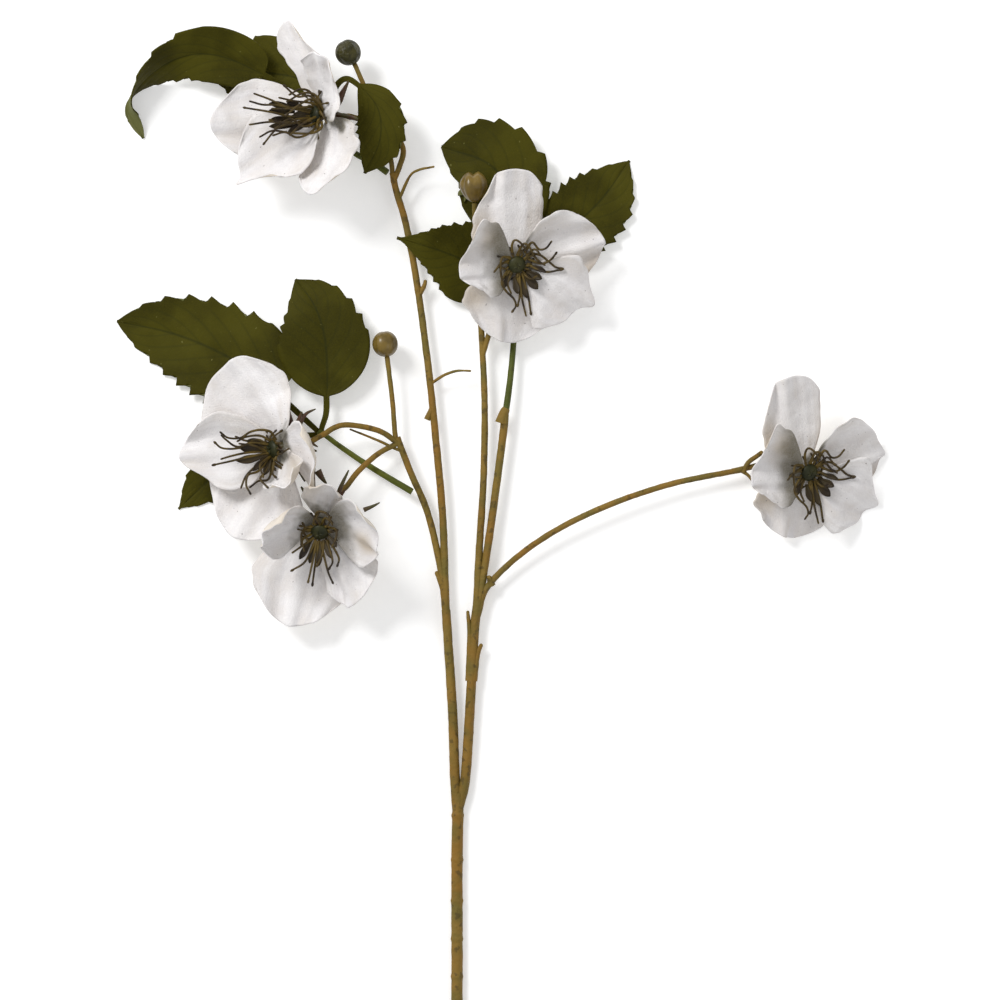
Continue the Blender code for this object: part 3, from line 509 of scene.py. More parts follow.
# Blooms, the drape of each visible petal in the same order, their stamens and the bracts that show
BLOOMS = (
    Bloom(
        "top", centre=(-78.2, 202.8, 24), axis=(-0.86, 0.04, 0.5),
        petals=(
            Petal((-79.5, 229, 46), 34.0, 2, bow=-2.6, look_up=0.34),
            Petal((-97, 244.6, 27), 31.0, 1, bow=-1.4, look_up=0.25),
            Petal((-129.8, 197, 20.5), 38.5, 0, bow=-3.8, look_up=0.6),
            Petal((-116, 175, 24.5), 38.0, 2, bow=-2.0, look_up=0.6),
            Petal((-85.5, 166.6, 36), 40.0, 0, bow=-5.0, look_up=0.4),
        ),
        bract_length=15.0, seed=3,
    ),
    Bloom(
        "left", centre=(-97.1, 53.5, 24), axis=(-0.85, -0.15, 0.51),
        petals=(
            Petal((-122.6, 92, 24), 51.0, 0, bow=-2.0, look_up=0.6, pleat=0.6),
            Petal((-143.8, 49.1, 20), 40.0, 2, bow=-2.0, look_up=0.6),
            Petal((-119, 12.6, 17), 44.0, 0, bow=-2.0, look_up=0.6),
            Petal((-95.6, 36.4, 47), 26.0, 2, bow=-5.0),
            Petal((-84.3, 51.1, 50), 38.0, 1, bow=-5.6),
        ),
        bract_length=15.0, seed=7,
    ),
    Bloom(
        "low", centre=(-80.4, 19.8, 24), axis=(-0.1, -0.6, 0.79),
        petals=(
            Petal((-54.1, 9.6, 44), 36.0, 2, bow=-5.0),
            Petal((-76.5, 35.4, 52), 32.0, 0, bow=-4.0),
            Petal((-106.9, 11.8, 44), 32.0, 2, bow=-5.0),
            Petal((-93.8, -27.1, 14), 44.0, 0, bow=-5.0, pleat=0.7),
            Petal((-67.5, -18, 21), 38.0, 1, bow=-4.0),
        ),
        bract_length=15.0, seed=11,
    ),
    Bloom(
        "middle", centre=(7.6, 135.6, 22), axis=(0.2, -0.35, 0.91),
        petals=(
            Petal((46.4, 147.6, 18), 40.0, 1, bow=0.0),
            Petal((2.2, 178.2, 34), 34.0, 0, bow=-2.0),
            Petal((-17.9, 130.1, 33), 42.0, 2, bow=-1.0),
            Petal((3.2, 100.6, 12), 42.0, 0, bow=-0.5),
            Petal((35.6, 116.2, 14.5), 41.0, 2, bow=2.5),
        ),
        bract_length=9.0, seed=19,
    ),
    Bloom(
        "right", centre=(138, 42, 14), axis=(0.42, -0.31, 0.85),
        petals=(
            Petal((172.8, 52.5, 0.4), 43.0, 1, bow=2.0),
            Petal((128.6, 85.3, 27), 28.0, 0, bow=-2.0, end=0.85),
            Petal((113.2, 36.9, 26), 42.0, 2, bow=-1.0),
            Petal((130.8, 12.6, 4.5), 42.0, 0, bow=-0.5),
            Petal((167.2, 26.8, 1), 40.0, 2, bow=3.5),
        ),
        bract_length=9.0, seed=19,
    ),
)
DRAPES = {
    "top": (
        Drape(
            root=(1.5, 2.6), left=(0.8, 0.66, 0.72, 0.95), right=(1.1, 0.6, 0.5, 0.8),
            creases=((-0.2, 1.4, 0.3),), ruffle=0.6,
        ),
        Drape(
            left=(0.6, 0.42, 0.56, 0.8), right=(0.9, 0.75, 0.62, 0.6),
            creases=((-0.35, 1.1, 0.2), (0.25, -1.2, 0.22), (0.8, 1, 0.2)),
        ),
        Drape(right=(1.0, 1.0, 1.06, 1.25), creases=((0.35, 0.9, 0.3), (-0.4, -1, 0.25))),
        Drape(left=(1.0, 0.86, 0.74, 0.55), corner=(-0.25, 0.1), creases=((0.5, 1, 0.3), (-0.5, 0.7, 0.3))),
        Drape(
            root=(3.0, 1.0), left=(1.25, 0.78, 0.76, 0.8), right=(0.75, 0.6, 0.55, 0.6),
            creases=((0.3, 0.5, 0.25), (-0.6, 0.8, 0.2)), ruffle=0.6,
        ),
    ),
    "left": (
        Drape(
            left=(1.0, 1.05, 1.2, 1.3), right=(0.75, 0.68, 0.74, 0.85),
            creases=((-0.45, 0.9, 0.12), (-0.15, -0.9, 0.12), (0.15, 0.9, 0.12), (0.5, -0.7, 0.15)),
        ),
        Drape(
            left=(1.0, 0.88, 0.84, 0.7), right=(0.95, 0.9, 0.92, 1.0),
            creases=((-0.2, 1, 0.35), (0.5, -0.8, 0.3)),
        ),
        Drape(right=(1.0, 1.15, 1.3, 1.3), creases=((0.2, 0.7, 0.3), (0.75, 0.8, 0.2))),
        Drape(
            lean=0.62, left=(0.6, 0.7, 0.75, 0.7), right=(1.25, 1.1, 0.85, 0.7),
            creases=((0.1, -0.8, 0.6),), ruffle=0.0, blush=((0.45, -0.35, 0.45),),
        ),
        Drape(swing=3.5, left=(0.8, 0.7, 0.7, 0.8), creases=((0, -1, 0.4),)),
    ),
    "low": (
        Drape(
            left=(1.1, 1.1, 1.15, 1.5), creases=((0.2, 1.4, 0.16), (-0.4, -1, 0.25)), stain=0.5,
            blush=((0.55, 0.3, 0.2), (0.75, 0.35, 0.2)),
        ),
        Drape(
            left=(0.9, 0.65, 0.6, 0.7), right=(0.55, 0.48, 0.42, 0.5), creases=((0, -1.2, 0.4),), stain=0.3,
            ruffle=0.4, blush=((0.75, -0.7, 0.4),),
        ),
        Drape(right=(0.9, 0.8, 0.8, 0.9), creases=((-0.1, 1.5, 0.18), (0.4, -1, 0.2)), stain=0.36),
        Drape(
            right=(1.0, 1.0, 1.1, 1.3), creases=((-0.3, 1.3, 0.13), (0.1, 0.9, 0.14), (-0.65, 0.9, 0.13)),
            stain=0.34,
        ),
        Drape(
            left=(0.95, 0.8, 0.95, 1.1), right=(0.65, 0.42, 0.44, 0.55),
            creases=((0, 1.2, 0.25), (-0.55, -1, 0.2)), stain=0.3,
        ),
    ),
    "middle": (
        Drape(
            root=(1.6, 1.0), left=(1.2, 1.04, 1.0, 1.05), creases=((0.1, 1.7, 0.13), (0.5, -1.1, 0.25)),
            stain=0.2, blush=((0.85, 0.75, 0.25),),
        ),
        Drape(
            left=(1.45, 1.02, 0.92, 0.85), right=(1.0, 0.9, 0.95, 1.15), swing=1.2, corner=(0.8, 0.04),
            creases=((-0.15, 1.4, 0.2), (-0.5, -1.6, 0.16), (0.5, 0.8, 0.15)), blush=((0.36, -0.85, 0.24),),
        ),
        Drape(
            root=(1.0, 1.6), left=(0.7, 0.6, 0.4, 0.35), right=(1.5, 1.22, 1.3, 1.2),
            creases=((-0.75, 1.6, 0.2), (0.3, -1.2, 0.3)), stain=0.68, blush=((0.4, 0.65, 0.24),),
        ),
        Drape(
            left=(0.7, 0.7, 0.95, 1.15), right=(1.3, 1.08, 0.88, 0.95),
            creases=((0.25, 1.8, 0.12), (0.75, -2, 0.3), (-0.3, -1, 0.2)), blush=((0.42, 0.8, 0.28),),
        ),
        Drape(
            left=(1.0, 1.0, 0.95, 1.15), right=(0.8, 0.75, 0.95, 1.0), corner=(-0.35, 0.16),
            creases=((-0.3, 2, 0.14), (0.3, -1.4, 0.25)),
        ),
    ),
    "right": (
        Drape(
            root=(1.6, 1.0), left=(1.22, 1.06, 1.0, 1.05), creases=((0.1, 1.7, 0.13), (0.5, -1.1, 0.25)),
            stain=0.2, blush=((0.85, 0.75, 0.25),),
        ),
        Drape(
            left=(1.5, 1.15, 1.02, 0.95), right=(1.0, 0.98, 1.05, 1.15), swing=0.4, corner=(0.8, 0.03),
            creases=((-0.15, 1.4, 0.2), (-0.5, -1.6, 0.16), (0.5, 0.8, 0.15)), blush=((0.36, -0.85, 0.24),),
        ),
        Drape(
            root=(1.0, 1.6), left=(0.75, 0.65, 0.5, 0.4), right=(1.5, 1.28, 1.4, 1.25),
            creases=((-0.75, 1.6, 0.2), (0.3, -1.2, 0.3)), stain=0.68, blush=((0.4, 0.65, 0.24),),
        ),
        Drape(
            left=(0.8, 0.75, 0.98, 1.15), right=(1.3, 1.05, 0.85, 0.95),
            creases=((0.25, 1.8, 0.12), (0.75, -2, 0.3), (-0.3, -1, 0.2)), blush=((0.42, 0.8, 0.28),),
        ),
        Drape(
            left=(1.0, 1.0, 0.92, 0.9), right=(0.9, 0.85, 0.95, 1.0), corner=(-0.15, 0.1),
            creases=((-0.3, 2, 0.14), (0.3, -1.4, 0.25)),
        ),
    ),
}
WIDE_THREADS = (
    ((8, 12), (15, 22), (22, 15), (29, 16), (34, 22)), ((9, 7), (24, 1), (34, 5), (39, 11)),
    ((9, 10), (22, 10), (32, 3), (38, -2), (45, -4)), ((10, 1), (28, -7), (44, -5)),
    ((5, -8), (11, -29), (14, -48)), ((2, -8), (5, -32), (9, -50)), ((0, -9), (3, -29), (1, -40)),
    ((-5, -7), (-9, -19), (-6, -28)),
    ((-9, -5), (-15, -17), (-11, -26), (-3, -34), (-1, -41), (-4, -46)),
    ((-8, 4), (-17, -1), (-22, -7)), ((-4, 9), (-5, 18), (-2, 24), (4, 21), (9, 14)),
    ((-7, 7), (-15, 6), (-16, -9), (-13, -21)), ((0, 9), (6, 20), (12, 18), (16, 10)),
    ((8, 6), (16, 9), (21, 4), (27, 0)), ((7, 4), (17, 15), (25, 8)), ((6, -8), (13, -14), (19, -12)),
)
WIDE_PADDLES = (
    (1.7, ((9, -6), (25, -14))), (2.0, ((7, -9), (21, -24))), (1.4, ((3, -12), (10, -33))),
    (1.6, ((-3, -12), (1, -29))), (1.2, ((10, -1), (22, -4), (29, -7))), (1.1, ((-8, -8), (-13, -23))),
)
TUFTS = {
    "top": TuftPlan(
        threads=(
            ((4, 2), (-13, 5), (-31, 8), (-45, 14), (-59, 19)),
            ((3, 0), (-18, 4), (-38, 8), (-51, 8), (-63, 11)), ((3, -2), (-23, -3), (-43, 1), (-69, 5)),
            ((3, -2), (-23, -10), (-43, -9), (-63, -12)),
            ((6, -3), (7, -14), (-3, -20), (-23, -20), (-41, -18), (-53, -24)),
            ((3, -6), (-21, -10), (-37, -15), (-50, -30)), ((3, 9), (-5, 22), (-15, 24), (-24, 19)),
            ((9, 2), (5, 10), (-5, 17), (-17, 16), (-29, 26)), ((8, 4), (-1, 10), (-19, 12), (-34, 15)),
            ((6, -6), (-3, -18), (-17, -24), (-29, -19), (-40, -22)),
            ((7, 0), (-7, -8), (-15, -14), (-23, -23)), ((2, 7), (-13, 6), (-27, 4), (-41, 4)),
            ((1, -4), (-17, -6), (-29, -10), (-43, -8)), ((7, 6), (-3, 14), (-15, 8), (-27, -2)),
            ((4, -8), (-10, -13), (-24, -6), (-38, -16)), ((8, 8), (0, 19), (-12, 20), (-26, 12)),
        ),
        paddles=(
            (1.5, ((-20, 7), (-45, 10))), (1.5, ((-20, 2), (-45, 3))), (1.4, ((-18, -5), (-44, -6))),
            (1.5, ((-16, -11), (-45, -13))), (1.6, ((-6, 3), (-28, 12))), (1.6, ((-2, -6), (-26, -18))),
            (1.8, ((0, 0), (-22, -2))),
        ),
        lift=(5.0, 17.0),
    ),
    "left": TuftPlan(
        threads=(
            ((3, 9), (-2, 17), (-12, 19), (-22, 17), (-32, 11), (-44, 11), (-51, 16)),
            ((0, 6), (-12, 13), (-26, 12), (-34, 8)), ((-2, 4), (-20, 6), (-35, 2), (-46, 9), (-50, 13)),
            ((-2, 2), (-24, 2), (-40, 0), (-51, 1), (-57, 6)), ((-4, -2), (-26, -4), (-40, -7), (-50, -10)),
            ((-4, -4), (-24, -8), (-40, -12), (-58, -16)), ((-6, -8), (-20, -20), (-27, -28), (-31, -38)),
            ((-4, -10), (-14, -22), (-24, -26), (-26, -36), (-22, -44)),
            ((0, -14), (-4, -30), (-14, -32), (-22, -38)), ((-2, -12), (-8, -24), (-12, -30), (-5, -38)),
            ((2, -10), (0, -24), (3, -28)), ((-4, 3), (-14, 9), (-26, 8), (-36, 12)),
            ((-6, -3), (-18, 3), (-32, 5)), ((-3, -8), (-12, -16), (-9, -27)),
        ),
        paddles=(
            (2.2, ((-4, 1), (-32, 0))), (1.9, ((-4, -5), (-22, -10), (-36, -12))),
            (1.7, ((-4, 5), (-26, 8))), (1.5, ((-2, -10), (-8, -26))), (1.4, ((-4, -6), (-20, -22))),
        ),
        lift=(4.0, 13.0),
    ),
    "low": TuftPlan(
        threads=(
            ((-6, -6), (-16, -13), (-26, -20)), ((-4, -8), (-14, -29), (-27, -38)),
            ((-3, -9), (-8, -35), (-11, -49)), ((-1, -9), (-5, -37), (-7, -52)),
            ((1, -9), (8, -38), (13, -50)), ((7, -8), (13, -28), (10, -36)),
            ((9, -7), (19, -25), (18, -33)), ((-7, 3), (-17, 0), (-18, -12)),
            ((-6, 8), (-2, 20), (8, 18), (13, 8)), ((8, 5), (17, 2), (16, -8), (13, -14)),
            ((-8, 6), (-16, 2), (-12, -8)), ((2, 8), (6, 14), (12, 10)), ((4, -8), (3, -22), (-2, -33)),
            ((-8, -2), (-17, -8), (-15, -18)),
        ),
        paddles=(
            (1.5, ((-8, -7), (-20, -27))), (1.4, ((-5, -10), (-10, -31))), (1.5, ((0, -10), (-1, -34))),
            (1.4, ((4, -9), (12, -26))), (1.3, ((8, -3), (17, -15))),
        ),
        lift=(3.0, 9.0), hug=0.3, shift=(0, -1, 0),
    ),
    "middle": TuftPlan(
        threads=WIDE_THREADS, paddles=WIDE_PADDLES, lift=(3.6, 6.5), hug=1.0, shift=(-1.2, 1.8, 0),
    ),
    "right": TuftPlan(
        threads=WIDE_THREADS, paddles=WIDE_PADDLES, lift=(5.5, 9.0), hug=1.0, shift=(-1.2, 1.9, 0),
    ),
}
LONG_BRACTS: dict[str, tuple[tuple[float, tuple[Point, ...]], ...]] = {
    "left": (
        (1.5, ((-96.4, 70.2, 21), (-93.2, 62.1, 21), (-90.1, 54.5, 20), (-87.4, 51.3, 19))),
        (1.0, ((-90.5, 63.3, 21), (-87.4, 68.3, 21), (-82.9, 70.7, 20))),
        (1.2, ((-91.4, 58.5, 20), (-86.5, 56.3, 19.5), (-82, 53.6, 19))),
    ),
    "low": (
        (1.7, ((-84.7, 32.2, 24), (-84.2, 39.6, 25), (-83.3, 44.6, 25))),
        (1.5, ((-82, 42.9, 24), (-80, 39.6, 24), (-77.9, 36.9, 24))),
        (1.4, ((-74.3, 24.3, 23), (-72, 34.2, 24), (-68, 43.2, 24))),
        (0.9, ((-61.3, 25.2, 22), (-57, 27, 22), (-54, 28.6, 22))),
    ),
}


class SmoothPath:
    """A Catmull-Rom curve through a few points, measured along its length."""

    STEPS = 12

    def __init__(self, knots: Knots) -> None:
        """Runs the curve through the knots.

        Args:
            knots: Two or more points, in millimetres.
        """
        ends = [Vector(knot) for knot in knots]
        ends = [2 * ends[0] - ends[1], *ends, 2 * ends[-1] - ends[-2]]
        self.places: list[Vector] = []
        for i in range(1, len(ends) - 2):
            a, b, c, d = ends[i - 1 : i + 3]
            square = 2 * a - 5 * b + 4 * c - d
            cube = 3 * b - 3 * c + d - a
            for k in range(self.STEPS):
                u = k / self.STEPS
                self.places.append(0.5 * (2 * b + (c - a) * u + square * u**2 + cube * u**3))
        self.places.append(ends[-2])
        self.runs = [0.0]
        for a, b in zip(self.places, self.places[1:]):
            self.runs.append(self.runs[-1] + (b - a).length)
        last = len(self.places) - 1
        self.ways = [
            (self.places[min(k + 1, last)] - self.places[max(k - 1, 0)]).normalized() for k in range(last + 1)
        ]

    @property
    def length(self) -> float:
        """The curve's length in millimetres."""
        return self.runs[-1]

    def at(self, fraction: float) -> tuple[Vector, Vector]:
        """Finds a place on the curve.

        Args:
            fraction: How far along the curve, from 0 to 1.

        Returns:
            The place and the direction there.
        """
        target = min(max(fraction, 0.0), 1.0) * self.length
        i = next(k for k in range(1, len(self.runs)) if self.runs[k] >= target - 1e-9)
        u = (target - self.runs[i - 1]) / (self.runs[i] - self.runs[i - 1])
        way = self.ways[i - 1].lerp(self.ways[i], u).normalized()
        return self.places[i - 1].lerp(self.places[i], u), way

    def spaced(self, step: float) -> list[Vector]:
        """Places along the curve at an even spacing near step millimetres."""
        count = max(int(round(self.length / step)), 3)
        return [self.at(k / count)[0] for k in range(count + 1)]


@dataclass
class Strand:
    """A path with a radius at each of its points, in millimetres, and whether it ends in a head."""

    places: list[Vector]
    girths: list[float]
    headed: bool = False

    @classmethod
    def shaped(cls, places: list[Vector], girth: Callable[[float], float], headed: bool = False) -> Strand:
        """Gives a path the radius that a function finds for how far along it is, from 0 to 1."""
        last = len(places) - 1
        return cls(places, [girth(k / last) for k in range(last + 1)], headed)

    @classmethod
    def tapered(cls, knots: Knots, root: float, end: float, round_end: bool = False) -> Strand:
        """Runs a strand through knots, with a radius that goes evenly from root to end.

        Args:
            knots: The points that its path runs through.
            root: The radius at its start, in millimetres.
            end: The radius at its end.
            round_end: Whether the end is rounded off.

        Returns:
            The strand.
        """
        made = cls.shaped(SmoothPath(knots).spaced(PATH_STEP), lambda part: root + (end - root) * part)
        if round_end:
            tip = made.places[-1]
            ahead = (tip - made.places[-2]).normalized()
            for part in (0.5, 0.8, 0.97):
                made.places.append(tip + ahead * end * part)
                made.girths.append(end * math.sqrt(1.0 - part * part))
        return made


class Board:
    """Places the nodes of one tree and joins them."""

    def __init__(self, tree: bpy.types.NodeTree) -> None:
        """Starts on a tree."""
        self.tree = tree
        self.shades = tree.bl_idname == "ShaderNodeTree"

    def feed(self, node: bpy.types.Node, key: str | int, value: Wire) -> None:
        """Joins a socket to a node's input, or sets that input.

        Args:
            node: The node.
            key: The input's name or number.
            value: An output socket, a colour or a plain value.
        """
        if isinstance(value, Socket):
            self.tree.links.new(value, node.inputs[key])
        elif isinstance(value, tuple):
            node.inputs[key].default_value = (*value, 1.0)
        else:
            node.inputs[key].default_value = value

    def add(self, kind: str, wires: Wires | None = None, **settings: object) -> bpy.types.Node:
        """Adds a node.

        Args:
            kind: The node's type name.
            wires: What goes into its sockets, by name or number: an output socket or a value.
            settings: Values for the node's own properties.

        Returns:
            The new node.
        """
        node = self.tree.nodes.new(kind)
        for key, value in settings.items():
            setattr(node, key, value)
        for key, value in (wires or {}).items():
            self.feed(node, key, value)
        return node

    def math(self, operation: str, a: Wire, b: Wire = 0.0) -> Socket:
        """Adds a Math node and returns its result."""
        return self.add("ShaderNodeMath", {0: a, 1: b}, operation=operation).outputs[0]

    def times(self, *values: Wire) -> Socket:
        """The product of all values."""
        return reduce(lambda a, b: self.math("MULTIPLY", a, b), values)

    def plus(self, a: Wire, b: Wire) -> Socket:
        """The sum of two values."""
        return self.math("ADD", a, b)

    def minus(self, a: Wire, b: Wire) -> Socket:
        """The first value less the second."""
        return self.math("SUBTRACT", a, b)

    def smooth(self, value: Wire, low: Wire, high: Wire) -> Socket:
        """A smooth step from 0 at low to 1 at high."""
        wires = {"Value": value, "From Min": low, "From Max": high}
        return self.add("ShaderNodeMapRange", wires, interpolation_type="SMOOTHSTEP").outputs["Result"]

    def fade(self, value: Wire, low: Wire, high: Wire) -> Socket:
        """A smooth step from 1 at low to 0 at high."""
        return self.minus(1.0, self.smooth(value, low, high))

    def mix(self, factor: Wire, a: Wire, b: Wire) -> Socket:
        """The colour between a at factor 0 and b at factor 1."""
        return self.add("ShaderNodeMix", {0: factor, 6: a, 7: b}, data_type="RGBA").outputs[2]

    def noise(self, place: Wire, scale: Wire, detail: float = 2.0, seed: Wire = 0.0) -> Socket:
        """A noise texture's value, which lies round 0.5."""
        wires = {"Vector": place, "Scale": scale, "Detail": detail, "W": seed}
        return self.add("ShaderNodeTexNoise", wires, noise_dimensions="4D").outputs["Fac"]

    def group(self, tree: bpy.types.NodeTree, **wires: Wire) -> Sockets:
        """The outputs of a shared group, whose inputs are named with _ for a space."""
        named = {key.replace("_", " "): value for key, value in wires.items()}
        return self.add("ShaderNodeGroup", named, node_tree=tree).outputs

    def place(self) -> Socket:
        """The place that is shaded or shaped, in metres."""
        kind = "ShaderNodeTexCoord" if self.shades else "GeometryNodeInputPosition"
        return self.add(kind).outputs["Object" if self.shades else "Position"]

    def reading(self, label: str, kind: str = "FLOAT") -> Socket:
        """A value that the mesh carries, by its name and its type."""
        if self.shades:
            return self.add("ShaderNodeAttribute", attribute_name=label).outputs["Fac"]
        return self.add("GeometryNodeInputNamedAttribute", {"Name": label}, data_type=kind).outputs[0]

    def crests(self, along: Wire, aside: Wire, entry: Sockets) -> Socket:
        """A value from 0 between the slanting ribs of a blade to 1 on them, which lie as entry says."""
        phase = self.plus(self.times(along, entry["Ribs Along"]), self.times(aside, entry["Ribs Across"]))
        return self.math("ABSOLUTE", self.math("COSINE", self.times(phase, math.pi)))

    def store(self, geometry: Wire, label: str, value: Wire) -> Socket:
        """Keeps a value on a geometry's points."""
        wires = {"Geometry": geometry, "Name": label, "Value": value}
        return self.add("GeometryNodeStoreNamedAttribute", wires, data_type="FLOAT").outputs[0]

    def raised(self, geometry: Wire, height: Wire) -> Socket:
        """Moves a geometry's points along their normals by a height in metres."""
        wires = {0: self.add("GeometryNodeInputNormal").outputs[0], "Scale": height}
        offset = self.add("ShaderNodeVectorMath", wires, operation="SCALE").outputs[0]
        return self.add("GeometryNodeSetPosition", {"Geometry": geometry, "Offset": offset}).outputs[0]

    def ring(self, sides: Wire) -> Socket:
        """A round profile of radius 1."""
        return self.add("GeometryNodeCurvePrimitiveCircle", {"Resolution": sides, "Radius": 1.0}).outputs[0]

    def swept(self, curve: Wire, ring: Wire) -> Socket:
        """Runs a profile along a curve whose points carry a girth, with its ends closed."""
        wires = {"Curve": curve, "Profile Curve": ring, "Scale": self.reading("girth"), "Fill Caps": True}
        return self.add("GeometryNodeCurveToMesh", wires).outputs[0]


@dataclass(frozen=True)
class Entry:
    """A named input of a tree and its default value."""

    name: str
    default: float | int | None = 0.0
    kind: str = "Float"


def linked(name: str, data: bpy.types.ID) -> bpy.types.Object:
    """Makes an object of a mesh, lamp or camera and places it in the scene."""
    made = bpy.data.objects.new(name, data)
    bpy.context.scene.collection.objects.link(made)
    return made


def settled(guide: bpy.types.Object, name: str) -> Mesh:
    """Turns what a guide's modifier makes of its mesh into a plain mesh.

    Args:
        guide: The object with the modifier, which is used up with its mesh.
        name: The name of the result.

    Returns:
        The plain mesh.
    """
    bpy.context.view_layer.update()
    done = bpy.data.meshes.new_from_object(guide.evaluated_get(bpy.context.evaluated_depsgraph_get()))
    start = guide.data
    bpy.data.objects.remove(guide, do_unlink=True)
    bpy.data.meshes.remove(start)
    done.name = name
    return done


class Form:
    """A geometry tree that shapes a piece: it is built once and then pressed on many pieces."""

    inputs: tuple[Entry, ...] = ()
    label = "Form"

    def __init__(self) -> None:
        """Builds the tree with its named inputs, its realised result and its material."""
        self.tree = bpy.data.node_groups.new(self.label, "GeometryNodeTree")
        sockets = self.tree.interface
        sockets.new_socket("Geometry", in_out="OUTPUT", socket_type="NodeSocketGeometry")
        sockets.new_socket("Geometry", in_out="INPUT", socket_type="NodeSocketGeometry")
        for item in (*self.inputs, Entry("Material", None, "Material")):
            made = sockets.new_socket(item.name, in_out="INPUT", socket_type=f"NodeSocket{item.kind}")
            if item.default is not None:
                made.default_value = item.default
        board = Board(self.tree)
        entry = board.add("NodeGroupInput").outputs
        shaped = self.shape(board, entry)
        smooth = board.add("GeometryNodeSetShadeSmooth", {"Geometry": shaped}).outputs[0]
        real = board.add("GeometryNodeRealizeInstances", {"Geometry": smooth}).outputs[0]
        wires = {"Geometry": real, "Material": entry["Material"]}
        board.add("NodeGroupOutput", {"Geometry": board.add("GeometryNodeSetMaterial", wires).outputs[0]})

    def shape(self, board: Board, entry: Sockets) -> Socket:
        """Adds the nodes that give the shape.

        Args:
            board: The tree's board.
            entry: What comes into the tree.

        Returns:
            The shaped geometry.
        """
        raise NotImplementedError

    def press(self, mesh: Mesh, **values: float | int | Material) -> Mesh:
        """Shapes a mesh and turns the result into a plain mesh.

        Args:
            mesh: The plain mesh that the tree starts from, which is used up.
            values: Values for the tree's inputs, by their names with _ for a space.

        Returns:
            The finished mesh, with the same name.
        """
        name = mesh.name
        guide = linked(name + "_guide", mesh)
        modifier = guide.modifiers.new("Form", "NODES")
        modifier.node_group = self.tree
        for item in self.tree.interface.items_tree:
            key = item.name.replace(" ", "_")
            if item.in_out == "INPUT" and key in values:
                modifier[item.identifier] = values[key]
        return settled(guide, name)


class TubeForm(Form):
    """Round bars along the edges of a mesh whose points carry a girth in metres."""

    label = "Tubes on paths"
    inputs = (
        Entry("Sides", 16, "Int"),
        Entry("Ridges", 6, "Int"),
        Entry("Ridge Height"),
        Entry("Lump Height"),
        Entry("Lump Scale", 300.0),
        Entry("Seed"),
    )

    def shape(self, board: Board, entry: Sockets) -> Socket:
        """Runs a round profile along each path, then adds ridges and lumps.

        Args:
            board: The tree's board.
            entry: What comes into the tree.

        Returns:
            The shaped geometry.
        """
        curve = board.add("GeometryNodeMeshToCurve", {"Mesh": entry["Geometry"]}).outputs[0]
        turn = board.add("GeometryNodeSplineParameter").outputs["Factor"]
        tube = board.swept(curve, board.store(board.ring(entry["Sides"]), "around", turn))
        turns = board.times(board.reading("around"), entry["Ridges"], 2.0 * math.pi)
        ridges = board.times(board.math("COSINE", turns), entry["Ridge Height"])
        noise = board.noise(board.place(), entry["Lump Scale"], 2.0, entry["Seed"])
        lumps = board.times(board.minus(noise, 0.5), entry["Lump Height"])
        return board.raised(tube, board.plus(ridges, lumps))


class TuftForm(Form):
    """Threads along the edges of a mesh, each with a small rounded head on its end."""

    label = "Threads with heads"
    inputs = (
        Entry("Sides", 7, "Int"),
        Entry("Head Width", 0.0008),
        Entry("Head Length", 1.8),
        Entry("Seed", 0, "Int"),
    )

    def shape(self, board: Board, entry: Sockets) -> Socket:
        """Runs a thin profile along each path and sets a head on each end.

        Args:
            board: The tree's board.
            entry: What comes into the tree.

        Returns:
            The shaped geometry.
        """
        curve = board.add("GeometryNodeMeshToCurve", {"Mesh": entry["Geometry"]}).outputs[0]
        threads = board.swept(curve, board.ring(entry["Sides"]))
        head = board.add("GeometryNodeMeshUVSphere", {"Segments": 8, "Rings": 6, "Radius": 1.0}).outputs[0]
        tangent = board.add("GeometryNodeInputTangent").outputs[0]
        turn = board.add("FunctionNodeAlignRotationToVector", {"Vector": tangent}, axis="Z").outputs[0]
        spread = {2: 0.8, 3: 1.25, "Seed": entry["Seed"]}
        chance = board.add("FunctionNodeRandomValue", spread, data_type="FLOAT").outputs[1]
        width = board.times(entry["Head Width"], chance)
        length = board.times(width, entry["Head Length"])
        size = board.add("ShaderNodeCombineXYZ", {0: width, 1: width, 2: length}).outputs[0]
        tip = board.reading("tip", "BOOLEAN")
        wires = {"Points": curve, "Selection": tip, "Instance": head, "Rotation": turn, "Scale": size}
        heads = board.add("GeometryNodeInstanceOnPoints", wires).outputs[0]
        join = board.add("GeometryNodeJoinGeometry")
        board.feed(join, 0, heads)
        board.feed(join, 0, threads)
        return join.outputs[0]


